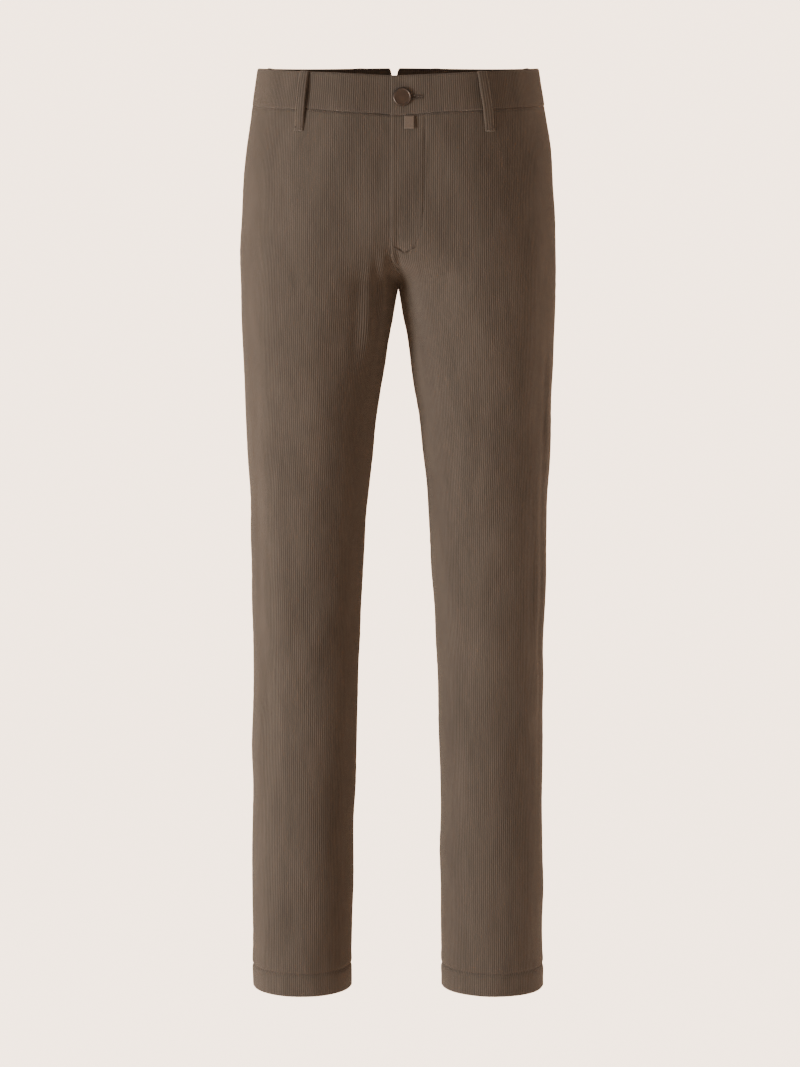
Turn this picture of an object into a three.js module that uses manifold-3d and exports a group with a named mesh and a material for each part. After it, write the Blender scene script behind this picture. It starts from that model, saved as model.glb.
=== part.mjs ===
// Corduroy trousers, filled out as worn, in millimetres with +Z up and the front facing -Y.
// The wearer's right is on -X. The origin is the middle of the waist opening.
import * as THREE from 'three';
import { mergeVertices } from 'three/addons/utils/BufferGeometryUtils.js';
import Module from 'manifold-3d';

// Cloth thickness and the gap that is left between sewn pieces
const CLOTH = 1.4;
const BAND_CLOTH = 2.6;
const LOOP_CLOTH = 1.8;
const POCKET_CLOTH = 1;
const ZIP_CLOTH = 1;
const SEAM_GAP = 0.3;

// Heights of the main levels
const CROTCH_Z = -219;
const HEM_Z = -1020;
const YOKE_Z = -90;

// Each side of the garment as the sign of X
const RIGHT = -1;
const LEFT = 1;

// Overall width of each half, from the centre plane to the side seam
const WIDTHS = table(['z', 'right', 'left'], [
  [30, 154, 153.5],
  [0, 159, 158.6],
  [-36, 163.7, 164.2],
  [-70, 168.5, 168.9],
  [-104, 172.8, 172.4],
  [-154, 175.4, 175.2],
  [-196, 176.4, 175.9],
  [-219, 176, 175.7],
  [-254, 175.1, 174.9],
  [-316, 173.4, 173],
  [-394, 169.6, 170.3],
  [-473, 166.7, 167.4],
  [-553, 165.4, 165.6],
  [-633, 164.2, 163.9],
  [-714, 165.1, 163.4],
  [-795, 165.4, 163.5],
  [-876, 166.2, 164.3],
  [-957, 166.5, 164.9],
  [-1020, 166.2, 165],
]);

// Where each leg's inner side lies, from the centre plane
const INNER_LEG = table(['z', 'right', 'left'], [
  [-219, 0, 0],
  [-254, 6.7, 6.6],
  [-316, 16.8, 16],
  [-394, 27.7, 26.7],
  [-473, 35.5, 33.8],
  [-553, 40.9, 38.8],
  [-633, 44.5, 43.2],
  [-714, 47.1, 46.3],
  [-795, 49.5, 47.8],
  [-876, 51.8, 48.2],
  [-957, 53.1, 48.8],
  [-1020, 54.1, 49.8],
]);

// Front and back reach of each half, the places of those crests, and of the side seam and inseam
const DEPTHS = table(['z', 'frontX', 'frontY', 'backX', 'backY', 'sideY', 'inseamY'], [
  [30, 45, -103, 50, 104, 0, -16],
  [0, 45, -104.5, 52, 106, 0, -16],
  [-36, 48, -107, 58, 112, 0, -16],
  [-70, 52, -109, 66, 119, 1, -16],
  [-104, 58, -110.5, 74, 126, 2, -16],
  [-154, 72, -111.5, 82, 130, 3, -16],
  [-196, 84, -110, 87, 125, 3, -16],
  [-219, 88, -108, 89, 117.5, 2, -16],
  [-254, 91, -104, 91, 107, 0, -11],
  [-316, 95, -97.5, 95, 94.5, -1, -3],
  [-394, 98.5, -89, 98.5, 82.5, -3, 1],
  [-473, 101, -80.5, 101, 71.5, -4.5, 1],
  [-553, 103, -73.5, 103, 64, -5, 0],
  [-633, 104, -67, 104, 65, -1, 2],
  [-714, 105, -62, 105, 68, 3, 4],
  [-795, 106, -59, 106, 68, 4.5, 5],
  [-876, 107, -57.2, 107, 66, 4.5, 5],
  [-957, 108.5, -56.2, 108.5, 64, 4, 4],
  [-1020, 109, -55.5, 109, 62, 3.5, 4],
]);

// Above the crotch each leg's curve goes on past the centre plane, which cuts it at the centre seam:
// it starts at the legs' own slope and turns out within these heights in front and behind
const FORK_SLOPE = 0.19;
const FRONT_TURN = 16;
const BACK_TURN = 32;

// How full the outer curves of a section are: 0.55 is an ellipse, more is squarer
const ROUNDNESS = 0.57;
const STEPS_PER_ARC = 24;

// Height of the waistband's two edges, from the side seam (q = 0) to centre front (q = -1) or back (q = 1)
const BAND_TOP = { side: 20.2, front: [20.4, 6.5], back: [11.5, -5] };
const BAND_SEAM = { side: -21.5, front: [15, 0], back: [15, -7.5] };

// The fly: the left front laps past the centre, the right front and band dip under it
const FLY_LAP = 8;
const FLY_END_Z = -190;
const FLY_FADE = 11;
const FLY_DIP = CLOTH + SEAM_GAP + 0.05;
const UNDERLAP = 2;
const DIP_START = 15;
const DIP_END = 10;
const DIP_FADE = 8;
const BAND_LAP = 8;
const BAND_UNDERLAP = 34;
const BAND_DIP = BAND_CLOTH + SEAM_GAP;
const BAND_DIP_START = 20;
const BAND_DIP_END = 9;
const BAND_OUT = 0.6;

// Where a band half's cross-sections stand: from its front end, then in equal steps, then at the notch
const LAP_SECTIONS = { right: [0, 26, 43, 48], left: [0, 6] };
const EVEN_SECTIONS = { steps: 22, startRight: 22, startLeft: 8, beforeNotch: 6 };
const NOTCH_SECTIONS = [6.3, 3.2, 1.2, 0];

// The band's doubled cloth: share of its height, further down, and its faces from the middle line
const BAND_PROFILE = table(['share', 'down', 'outside', 'inside'], [
  [0, 0, 0.5, -0.7],
  [0, 0.8, 1.2, -1.4],
  [0, 2.6, 1.3, -1.3],
  [0.5, 0, 1, -1],
  [1, -4, 0.9, -1.2],
  [1, 0, 0.5, -1.3],
]);

// The centre back seam leans to the wearer's right at the top, under a small V notch
const BACK_SEAM_LEAN = 4.6;
const NOTCH_DEPTH = 15.5;
const NOTCH_HALF_WIDTH = NOTCH_SECTIONS[0];
const NOTCH_CURVE = 0.9;

// Side-seam pockets
const MOUTH_TOP_Z = -58;
const MOUTH_END_Z = -236;
const MOUTH_GAP = 1.8;
const POCKET = { top: -40, bottom: -290, columns: 6, behind: 7, tuck: 0.9 };

// Button: its place on the band, the buttonhole, and its cap as radius and height over the underlap
const BUTTON = { x: 4, z: -17, slotRadius: 3.1, slitHalf: 0.6, slitReach: 22, cutDepth: 8 };
const BUTTON_PROFILE = [
  [0, 0], [2.6, 0], [2.6, 3.1], [9.5, 3.1], [10.2, 3.9], [10.2, 5.1], [9.5, 5.9],
  [8.5, 5.8], [7.8, 5.1], [0, 5.1],
];

// Strips at the front opening: heights, reach from the centre plane towards the left, outer face's
// distance from the cloth's surface at the top and bottom, and cloth thickness
const PAST_CENTRE = 40;
const KEEPER_TAB = {
  heights: [-37, -40, -44, -48, -51],
  from: 6,
  to: 17,
  columns: 3,
  outside: [2, 3.5],
  cloth: 1.6,
};
const ZIP_OUTSIDE = -CLOTH - FLY_DIP - SEAM_GAP - 0.1;
const FLY_ZIP = {
  heights: [-44, -66, -90, -114, -136, -150, -158],
  from: -6,
  to: 22,
  columns: 4,
  outside: [ZIP_OUTSIDE, ZIP_OUTSIDE],
  cloth: ZIP_CLOTH,
};
const SHIELD_OUTSIDE = ZIP_OUTSIDE - ZIP_CLOTH - SEAM_GAP;
const FLY_SHIELD = {
  heights: [-40, -66, -90, -114, -136, -150, -164],
  from: -14,
  to: 32,
  columns: 5,
  outside: [SHIELD_OUTSIDE, SHIELD_OUTSIDE],
  cloth: CLOTH,
};
const SLIDER = { x: 8, z: -50, half: 2.6, long: 9, corner: 1.4, thick: 1.2 };

// Belt loops: side, place as a share of the way from the side seam, and lean over the loop's length
const LOOP_WIDTH = 10.4;
const LOOP_CROWN = 0.25;
const LOOPS = table(['side', 'place', 'lean'], [
  [RIGHT, -0.519, -4.8],
  [LEFT, -0.575, -3.1],
  [RIGHT, 0.24, 2],
  [LEFT, 0.24, 2],
  [RIGHT, 0.78, 0],
  [LEFT, 0.78, 0],
]);
const LOOP_NAMES = [
  'belt_loop_front_right', 'belt_loop_front_left',
  'belt_loop_side_right', 'belt_loop_side_left',
  'belt_loop_back_right', 'belt_loop_back_left',
];

// A loop's underside: share of the way down from the band's top edge, extra height, gap to the cloth.
// The band's stand over the panels ends between the two shares of LOOP_OFF_BAND.
const LOOP_DROP = 64;
const LOOP_OFF_BAND = [0.6, 0.85];
const LOOP_PATH = table(['down', 'rise', 'gap'], [
  [0, -0.6, 0.4],
  [0.02, 0, 1.1],
  [0.09, 0, 1.9],
  [0.25, 0, 3],
  [0.5, 0, 3.3],
  [0.72, 0, 2.9],
  [0.88, 0, 1.5],
  [0.94, 0, 0.4],
  [1, 0, 0.35],
]);

// The turned-up hem: height, then the outer and inner faces as distances from the cloth's surface
const HEM = table(['z', 'outside', 'inside'], [
  [-978, 0, -CLOTH],
  [-990, 0.5, -CLOTH],
  [-994, -0.4, -2.4],
  [-998, 0.6, -2.4],
  [-1010, 0.5, -2.4],
  [-1018.6, 0.3, -2.2],
  [HEM_Z, -0.5, -1.5],
]);

// Rows of a panel below the yoke level, closer together where the seat turns into the legs
const SEAT_ROWS = [YOKE_Z, -114, -136, -154, -168, -179, -182.5, -186.5, FLY_END_Z];
const FORK_ROWS = [-198, -205, -210.5, -214.5, -217.3];
const THIGH_ROWS = [CROTCH_Z, -221.5, -226, -234, -246, -263, -286, -314];
const LEG_ROWS = [-348, -386, -424, -464, -506, -548, -590, -634, -678, -724, -772, -822, -874, -928];
const PANEL_ROWS = [...SEAT_ROWS, ...FORK_ROWS, ...THIGH_ROWS, ...LEG_ROWS, ...HEM.map((row) => row.z)];
const YOKE_SHARES = [1, 0.76, 0.5, 0.25];

// Columns of a panel: distances from its inner edge, then equal steps to the crest and to the side seam
const EDGE_COLUMNS = [0, 4, 9, 16];
const INNER_STEPS = 5;
const OUTER_STEPS = 6;

// The largest folds: a line across the cloth as seen from its own side, its width and its height
const FOLDS = table(['face', 'x0', 'z0', 'x1', 'z1', 'width', 'height'], [
  ['front', -26, -190, -36, -300, 11, 2.2],
  ['front', -13, -205, -22, -292, 8, -1.6],
  ['front', 24, -196, 44, -286, 12, 1.8],
  ['front', 12, -212, 27, -300, 8, -1.4],
  ['front', -150, -610, -142, -790, 9, -1.6],
  ['front', -128, -560, -118, -720, 13, 1.6],
  ['front', 146, -420, 150, -640, 10, -1.5],
  ['front', 118, -640, 140, -800, 15, -1.6],
  ['back', -38, -232, -128, -262, 11, -3],
  ['back', 34, -228, 132, -256, 12, -3.2],
  ['back', -52, -292, -118, -330, 14, -2],
  ['back', 50, -300, 112, -326, 13, -1.8],
  ['back', -66, -548, -142, -566, 12, -3.4],
  ['back', 62, -556, 138, -544, 13, -3],
  ['back', -70, -612, -136, -596, 14, -2.2],
  ['back', 68, -606, 140, -624, 13, -2.4],
]);

const CLOTH_COLOUR = 0x5f5246;
const POCKET_COLOUR = 0x574b40;
const BUTTON_COLOUR = 0x3c322a;
const ZIP_COLOUR = 0x4a4038;

// Names the columns of a table and returns its rows as objects
function table(names, rows) {
  return rows.map((row) => Object.fromEntries(names.map((name, index) => [name, row[index]])));
}

// Smooth value of one column at a height, without overshoot between the rows
function columnAt(rows, name, z) {
  const last = rows.length - 1;
  if (z >= rows[0].z) {
    return rows[0][name];
  }
  if (z <= rows[last].z) {
    return rows[last][name];
  }
  const index = rows.findIndex((row) => row.z <= z) - 1;
  const slope = (i) => (rows[i + 1][name] - rows[i][name]) / (rows[i + 1].z - rows[i].z);
  const tangent = (i) => {
    if (i === 0) {
      return slope(0);
    }
    if (i === last) {
      return slope(last - 1);
    }
    const before = slope(i - 1);
    const after = slope(i);
    return before * after <= 0 ? 0 : (2 * before * after) / (before + after);
  };
  const span = rows[index + 1].z - rows[index].z;
  const t = (z - rows[index].z) / span;
  const bend = t * t * (3 - 2 * t);
  const value = rows[index][name] * (1 - bend) + rows[index + 1][name] * bend;
  const start = (t * (1 - t) ** 2) * span * tangent(index);
  const end = (t * t * (1 - t)) * span * tangent(index + 1);
  return value + start - end;
}

function smooth(from, to, value) {
  return THREE.MathUtils.smoothstep((value - from) / (to - from), 0, 1);
}

// One half of a horizontal section, from the side seam round to the centre seam or inseam
function measureHalf(side, z, face) {
  const outer = columnAt(WIDTHS, side === RIGHT ? 'right' : 'left', z);
  const inner = columnAt(INNER_LEG, side === RIGHT ? 'right' : 'left', z) + SEAM_GAP / 2;
  const inseamY = columnAt(DEPTHS, 'inseamY', z);
  const crestX = columnAt(DEPTHS, face === 'front' ? 'frontX' : 'backX', z);
  const crestY = columnAt(DEPTHS, face === 'front' ? 'frontY' : 'backY', z);
  const sideY = columnAt(DEPTHS, 'sideY', z);
  const outerArc = new THREE.CubicBezierCurve(
    new THREE.Vector2(outer, sideY),
    new THREE.Vector2(outer, sideY + ROUNDNESS * (crestY - sideY)),
    new THREE.Vector2(crestX + ROUNDNESS * (outer - crestX), crestY),
    new THREE.Vector2(crestX, crestY),
  );
  const above = Math.max(z - CROTCH_Z, 0);
  const past = FORK_SLOPE * above + above ** 2 / (face === 'front' ? FRONT_TURN : BACK_TURN);
  const reach = crestX - inner + past;
  const endAngle = Math.asin((crestX - inner) / reach);
  const innerArc = Array.from({ length: STEPS_PER_ARC }, (_, i) => {
    const angle = endAngle * (i + 1) / STEPS_PER_ARC;
    const y = inseamY + (crestY - inseamY) * Math.cos(angle);
    return new THREE.Vector2(crestX - reach * Math.sin(angle), y);
  });
  const points = [...outerArc.getPoints(STEPS_PER_ARC), ...innerArc];
  const lengths = [0];
  for (let i = 1; i < points.length; i += 1) {
    lengths.push(lengths[i - 1] + points[i].distanceTo(points[i - 1]));
  }
  return { points, lengths, crest: lengths[STEPS_PER_ARC], length: lengths[lengths.length - 1] };
}

const measuredHalves = new Map();

function halfSection(side, z, face) {
  const key = `${side} ${z.toFixed(3)} ${face}`;
  if (!measuredHalves.has(key)) {
    measuredHalves.set(key, measureHalf(side, z, face));
  }
  return measuredHalves.get(key);
}

function alongHalf(side, z, face, distance) {
  const half = halfSection(side, z, face);
  const reach = THREE.MathUtils.clamp(distance, 0, half.length);
  let i = 1;
  while (i < half.lengths.length - 1 && half.lengths[i] < reach) {
    i += 1;
  }
  const share = (reach - half.lengths[i - 1]) / (half.lengths[i] - half.lengths[i - 1]);
  const spot = half.points[i - 1].clone().lerp(half.points[i], share);
  return new THREE.Vector3(side * spot.x, spot.y, z);
}

// Point of the body surface at a signed distance s from the side seam: front is negative.
// Past the centre seam it goes on over the other half, and past the inseam round the same leg.
function bodyPoint(side, z, s) {
  const face = s < 0 ? 'front' : 'back';
  const past = Math.abs(s) - halfSection(side, z, face).length;
  if (past <= 0) {
    return alongHalf(side, z, face, Math.abs(s));
  }
  if (z < CROTCH_Z) {
    const otherFace = s < 0 ? 'back' : 'front';
    return alongHalf(side, z, otherFace, halfSection(side, z, otherFace).length - past);
  }
  return alongHalf(-side, z, face, halfSection(-side, z, face).length - past);
}

// Height of the folds at a point of the surface
function foldHeight(point, face) {
  let height = 0;
  for (const fold of FOLDS) {
    if (fold.face !== face) {
      continue;
    }
    const along = new THREE.Vector2(fold.x1 - fold.x0, fold.z1 - fold.z0);
    const to = new THREE.Vector2(point.x - fold.x0, point.z - fold.z0);
    const share = THREE.MathUtils.clamp(to.dot(along) / along.lengthSq(), 0, 1);
    const offset = to.sub(along.multiplyScalar(share)).length() / fold.width;
    height += fold.height * Math.sin(Math.PI * (0.12 + 0.76 * share)) * Math.exp(-offset * offset);
  }
  return height;
}

// Outward direction at a point, from its neighbours below and within the piece's own range of s
function outward(side, z, s, range) {
  const step = 1.2;
  const low = Math.max(range[0], s - step);
  const high = Math.min(range[1], s + step);
  const across = bodyPoint(side, z, high).sub(bodyPoint(side, z, low));
  const up = bodyPoint(side, z, s).sub(bodyPoint(side, z - step, s));
  return across.cross(up).multiplyScalar(side).normalize();
}

// Point of the cloth moved out of the body surface by a distance
function clothPoint(side, z, s, out, range) {
  const point = bodyPoint(side, z, s);
  const face = s < 0 ? 'front' : 'back';
  return point.addScaledVector(outward(side, z, s, range), out + foldHeight(point, face));
}

function edgeHeight(edge, q) {
  const [slope, bend] = q < 0 ? edge.front : edge.back;
  return edge.side + slope * q + bend * q * q;
}

// Signed share of the way from the side seam to a centre seam at the waist, mirrored past the centre
function waistShare(side, s) {
  const face = s < 0 ? 'front' : 'back';
  const share = Math.abs(s) / halfSection(side, BAND_SEAM.side, face).length;
  return Math.sign(s) * (share > 1 ? 2 - share : share);
}

// Closed wall between an outer and an inner grid of points with the same rows and columns
function wallGeometry(outer, inner) {
  const rows = outer.length;
  const columns = outer[0].length;
  const points = [...outer.flat(), ...inner.flat()];
  const at = (layer, row, column) => layer * rows * columns + row * columns + column;
  const quads = [];
  for (let row = 0; row < rows - 1; row += 1) {
    for (let column = 0; column < columns - 1; column += 1) {
      const below = row + 1;
      const next = column + 1;
      quads.push([at(0, row, column), at(0, below, column), at(0, below, next), at(0, row, next)]);
      quads.push([at(1, row, column), at(1, row, next), at(1, below, next), at(1, below, column)]);
    }
    quads.push([at(0, row, 0), at(1, row, 0), at(1, row + 1, 0), at(0, row + 1, 0)]);
    const end = columns - 1;
    quads.push([at(0, row, end), at(0, row + 1, end), at(1, row + 1, end), at(1, row, end)]);
  }
  for (let column = 0; column < columns - 1; column += 1) {
    quads.push([at(0, 0, column), at(0, 0, column + 1), at(1, 0, column + 1), at(1, 0, column)]);
    const end = rows - 1;
    quads.push([at(0, end, column), at(1, end, column), at(1, end, column + 1), at(0, end, column + 1)]);
  }
  const triangles = quads.flatMap(([a, b, c, d]) => {
    const even = points[a].distanceToSquared(points[c]) <= points[b].distanceToSquared(points[d]);
    return even ? [a, b, c, a, c, d] : [b, c, d, b, d, a];
  });
  let volume = 0;
  for (let i = 0; i < triangles.length; i += 3) {
    const [a, b, c] = [points[triangles[i]], points[triangles[i + 1]], points[triangles[i + 2]]];
    volume += a.dot(b.clone().cross(c));
  }
  if (volume < 0) {
    triangles.reverse();
  }
  const geometry = new THREE.BufferGeometry();
  geometry.setAttribute('position', new THREE.Float32BufferAttribute(points.flatMap((p) => p.toArray()), 3));
  geometry.setIndex(triangles);
  return geometry;
}

// Distances of a panel's columns from the side seam, from its inner edge outwards
function panelColumns(half, over, sideEdge) {
  const innerEdge = half.length + over;
  const columns = EDGE_COLUMNS.map((distance) => innerEdge - distance);
  for (const [end, steps] of [[half.crest, INNER_STEPS], [sideEdge, OUTER_STEPS]]) {
    const start = columns[columns.length - 1];
    for (let i = 1; i <= steps; i += 1) {
      columns.push(start + (end - start) * i / steps);
    }
  }
  return columns;
}

// How far past the centre plane each panel's inner edge lies at a height
function frontOver(side, z) {
  const lap = FLY_LAP * smooth(CROTCH_Z + 2, FLY_END_Z, z);
  if (side === LEFT) {
    return lap - SEAM_GAP / 2;
  }
  return -lap - SEAM_GAP / 2 + (UNDERLAP + FLY_LAP) * smooth(FLY_END_Z, FLY_END_Z + FLY_FADE, z);
}

function backOver(side, z) {
  const lean = BACK_SEAM_LEAN * smooth(CROTCH_Z + 10, YOKE_Z, z);
  return side * lean - SEAM_GAP / 2;
}

// The right front's dip under the fly, by distance from the centre plane
function frontDip(side, z, fromCentre) {
  if (side === LEFT) {
    return 0;
  }
  const deep = smooth(FLY_END_Z - DIP_FADE, FLY_END_Z, z);
  return -FLY_DIP * deep * (1 - smooth(DIP_END, DIP_START, fromCentre));
}

// The pocket mouth draws the front's side edge away from the seam
function mouthGap(z) {
  return MOUTH_GAP * smooth(MOUTH_TOP_Z, MOUTH_TOP_Z - 12, z) * smooth(MOUTH_END_Z, MOUTH_END_Z + 20, z);
}

// Places on the body surface of one front or back panel, from the waist seam to the turned-up hem
function panelPlaces(side, face) {
  const sign = face === 'front' ? -1 : 1;
  const overAt = face === 'front' ? frontOver : backOver;
  const levels = [...YOKE_SHARES.map((share) => ({ share })), ...PANEL_ROWS.map((z) => ({ z }))];
  return levels.map((row) => {
    const levelZ = row.z ?? YOKE_Z + (BAND_SEAM.side - YOKE_Z) * row.share;
    const sideEdge = SEAM_GAP / 2 + (face === 'front' ? mouthGap(levelZ) : 0);
    const over = overAt(side, levelZ);
    const level = halfSection(side, levelZ, face);
    const columns = panelColumns(level, over, sideEdge);
    return columns.map((distance) => {
      const top = edgeHeight(BAND_SEAM, waistShare(side, sign * distance)) - SEAM_GAP;
      const z = row.z ?? YOKE_Z + (top - YOKE_Z) * row.share;
      const length = halfSection(side, z, face).length;
      const s = sign * (distance + (length - level.length) * (distance / columns[0]));
      const range = [sign * sideEdge, sign * (length + over)].sort((low, high) => low - high);
      const dip = face === 'front' ? frontDip(side, z, length - Math.abs(s)) : 0;
      return { z, s, range, dip };
    });
  });
}

// One front or back panel as a cloth wall with its turned-up hem
function panelGeometry(side, face) {
  const places = panelPlaces(side, face);
  const layer = (name) => places.map((row) => row.map(({ z, s, range, dip }) => (
    clothPoint(side, z, s, dip + columnAt(HEM, name, z), range)
  )));
  return wallGeometry(layer('outside'), layer('inside'));
}

// Height of the V notch at centre back, by distance from the seam
function notchDrop(fromSeam) {
  return NOTCH_DEPTH * (1 - THREE.MathUtils.clamp(fromSeam / NOTCH_HALF_WIDTH, 0, 1) ** NOTCH_CURVE);
}

// Places along a waistband half, from its front end to centre back
function bandPlaces(side) {
  const front = halfSection(side, 0, 'front').length;
  const back = halfSection(side, 0, 'back').length;
  const lap = side === LEFT ? BAND_LAP : BAND_UNDERLAP;
  const ends = side === LEFT ? LAP_SECTIONS.left : LAP_SECTIONS.right;
  const places = ends.map((distance) => -(front + lap) + distance);
  const { steps, startRight, startLeft, beforeNotch } = EVEN_SECTIONS;
  const start = -front + (side === LEFT ? startLeft : startRight);
  const seam = back + side * BACK_SEAM_LEAN - SEAM_GAP / 2;
  const finish = seam - NOTCH_HALF_WIDTH - beforeNotch;
  for (let i = 0; i <= steps; i += 1) {
    places.push(start + (finish - start) * i / steps);
  }
  for (const fromSeam of NOTCH_SECTIONS) {
    places.push(seam - fromSeam);
  }
  return { places, seam, front };
}

// A place along the waist line carried up or down, keeping its share of the way to the centre seam
function levelPlace(side, z, s) {
  const face = s < 0 ? 'front' : 'back';
  const waistLength = halfSection(side, 0, face).length;
  const growth = halfSection(side, z, face).length - waistLength;
  return s + Math.sign(s) * growth * Math.min(1, Math.abs(s) / waistLength);
}

// One half of the waistband: a doubled band with a rolled top edge
function bandGeometry(side) {
  const { places, seam, front } = bandPlaces(side);
  const outer = [];
  const inner = [];
  for (const row of BAND_PROFILE) {
    const outerRow = [];
    const innerRow = [];
    for (const s of places) {
      const q = waistShare(side, s);
      const bottom = edgeHeight(BAND_SEAM, q);
      const top = edgeHeight(BAND_TOP, q) - notchDrop(seam - s);
      const z = top + (bottom - top) * row.share - row.down;
      const fromCentre = s + front;
      const dip = side === RIGHT ? BAND_DIP * (1 - smooth(BAND_DIP_END, BAND_DIP_START, fromCentre)) : 0;
      const middle = BAND_OUT - BAND_CLOTH / 2 - dip;
      const range = [places[0], places[places.length - 1]].map((end) => levelPlace(side, z, end));
      const place = levelPlace(side, z, s);
      outerRow.push(clothPoint(side, z, place, middle + row.outside, range));
      innerRow.push(clothPoint(side, z, place, middle + row.inside, range));
    }
    outer.push(outerRow);
    inner.push(innerRow);
  }
  return wallGeometry(outer, inner);
}

// A strip of cloth that follows the left front, inside or outside it
function stripGeometry({ heights, from, to, columns, outside, cloth }) {
  const layer = (inset) => heights.map((z, row) => {
    const front = halfSection(LEFT, z, 'front').length;
    const range = [-front - PAST_CENTRE, 0];
    const out = THREE.MathUtils.lerp(outside[0], outside[1], row / (heights.length - 1)) - inset;
    const places = Array.from({ length: columns + 1 }, (_, i) => -front + from + (to - from) * i / columns);
    return places.map((s) => clothPoint(LEFT, z, s, out, range));
  });
  return wallGeometry(layer(0), layer(cloth));
}

// A pocket's facing and bag as one wall: the front's own points moved in, then past the side seam
function pocketGeometry(side) {
  const places = panelPlaces(side, 'front')
    .filter((row) => row[0].z < POCKET.top && row[0].z > POCKET.bottom)
    .map((row) => row.slice(-POCKET.columns));
  const overSeam = [-POCKET.behind, POCKET.behind];
  const layer = (out) => places.map((row) => {
    const points = row.map(({ z, s, range }) => clothPoint(side, z, s, out, range));
    const last = row[row.length - 1];
    return [...points, clothPoint(side, last.z, POCKET.behind, out - POCKET.tuck, overSeam)];
  });
  const outside = -CLOTH - SEAM_GAP;
  return wallGeometry(layer(outside), layer(outside - POCKET_CLOTH));
}

// A belt loop: a doubled strip that stands off the band and is sewn down at both ends
function loopGeometry({ side, place, lean }) {
  const face = place < 0 ? 'front' : 'back';
  const middle = place * halfSection(side, 0, face).length;
  const top = edgeHeight(BAND_TOP, place);
  const range = [middle - LOOP_DROP, middle + LOOP_DROP];
  const path = LOOP_PATH.map(({ down, rise, gap }) => {
    const band = BAND_OUT * (1 - smooth(...LOOP_OFF_BAND, down));
    return new THREE.Vector2(band + gap, top + rise - down * LOOP_DROP);
  });
  const outer = [];
  const inner = [];
  path.forEach((spot, index) => {
    const before = path[Math.max(index - 1, 0)];
    const after = path[Math.min(index + 1, path.length - 1)];
    const direction = after.clone().sub(before).normalize();
    const thick = new THREE.Vector2(-direction.y, direction.x).multiplyScalar(LOOP_CLOTH);
    const outerRow = [];
    const innerRow = [];
    for (const across of [-0.5, 0, 0.5]) {
      const leaning = lean * (top - spot.y) / LOOP_DROP * Math.sign(place);
      const s = middle + across * LOOP_WIDTH - leaning;
      const crown = across === 0 ? LOOP_CROWN : 0;
      outerRow.push(clothPoint(side, spot.y + thick.y, s, spot.x + thick.x + crown, range));
      innerRow.push(clothPoint(side, spot.y, s, spot.x, range));
    }
    outer.push(outerRow);
    inner.push(innerRow);
  });
  return wallGeometry(outer, inner);
}

// Place and outward direction on the band's middle line at the button
function buttonSeat() {
  const front = halfSection(LEFT, BUTTON.z, 'front').length;
  const s = -front + BUTTON.x;
  const range = [-front - PAST_CENTRE, 0];
  const seat = clothPoint(LEFT, BUTTON.z, s, BAND_OUT - BAND_DIP + SEAM_GAP, range);
  return { seat, direction: outward(LEFT, BUTTON.z, s, range) };
}

function buttonGeometry() {
  const profile = BUTTON_PROFILE.map(([radius, height]) => new THREE.Vector2(radius, height));
  return new THREE.LatheGeometry(profile, 36);
}

// Cutter for the buttonhole: a round end for the shank and a slit towards the side
function buttonholeCutter() {
  const { slotRadius, slitHalf, slitReach, cutDepth } = BUTTON;
  const shape = new THREE.Shape();
  const start = Math.asin(slitHalf / slotRadius);
  shape.absarc(0, 0, slotRadius, start, Math.PI * 2 - start, false);
  shape.lineTo(slitReach, -slitHalf);
  shape.lineTo(slitReach, slitHalf);
  const options = { depth: cutDepth, bevelEnabled: false, curveSegments: 10 };
  const cutter = new THREE.ExtrudeGeometry(shape, options);
  cutter.translate(0, 0, -cutDepth / 2);
  const { seat, direction } = buttonSeat();
  const turn = new THREE.Matrix4().makeBasis(
    new THREE.Vector3(0, 0, 1).cross(direction).normalize(),
    direction.clone().cross(new THREE.Vector3(0, 0, 1).cross(direction).normalize()),
    direction,
  );
  cutter.applyMatrix4(turn.setPosition(seat));
  return cutter;
}

function sliderGeometry() {
  const { half, long, corner, thick } = SLIDER;
  const shape = new THREE.Shape();
  shape.absarc(half - corner, long - corner, corner, 0, Math.PI / 2, false);
  shape.absarc(-half + corner, long - corner, corner, Math.PI / 2, Math.PI, false);
  shape.absarc(-half + corner, corner, corner, Math.PI, Math.PI * 1.5, false);
  shape.absarc(half - corner, corner, corner, Math.PI * 1.5, Math.PI * 2, false);
  const geometry = new THREE.ExtrudeGeometry(shape, { depth: thick, bevelEnabled: false, curveSegments: 4 });
  geometry.translate(0, -long / 2, 0);
  return geometry;
}

const manifold = await Module();
manifold.setup();

function toSolid(geometry) {
  const bare = geometry.clone();
  bare.deleteAttribute('normal');
  bare.deleteAttribute('uv');
  const merged = mergeVertices(bare, 1e-4);
  const mesh = new manifold.Mesh({
    numProp: 3,
    vertProperties: new Float32Array(merged.attributes.position.array),
    triVerts: new Uint32Array(merged.index.array),
  });
  return new manifold.Manifold(mesh);
}

function cutGeometry(geometry, cutter) {
  const cut = toSolid(geometry).subtract(toSolid(cutter)).getMesh();
  const result = new THREE.BufferGeometry();
  result.setAttribute('position', new THREE.BufferAttribute(new Float32Array(cut.vertProperties), 3));
  result.setIndex(new THREE.BufferAttribute(new Uint32Array(cut.triVerts), 1));
  return result;
}

const trousers = new THREE.Group();

function addPiece(name, geometry, colour, roughness = 0.95, metalness = 0) {
  geometry.computeVertexNormals();
  const material = new THREE.MeshStandardMaterial({ color: colour, roughness, metalness });
  const mesh = new THREE.Mesh(geometry, material);
  mesh.name = name;
  trousers.add(mesh);
  return mesh;
}

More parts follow.
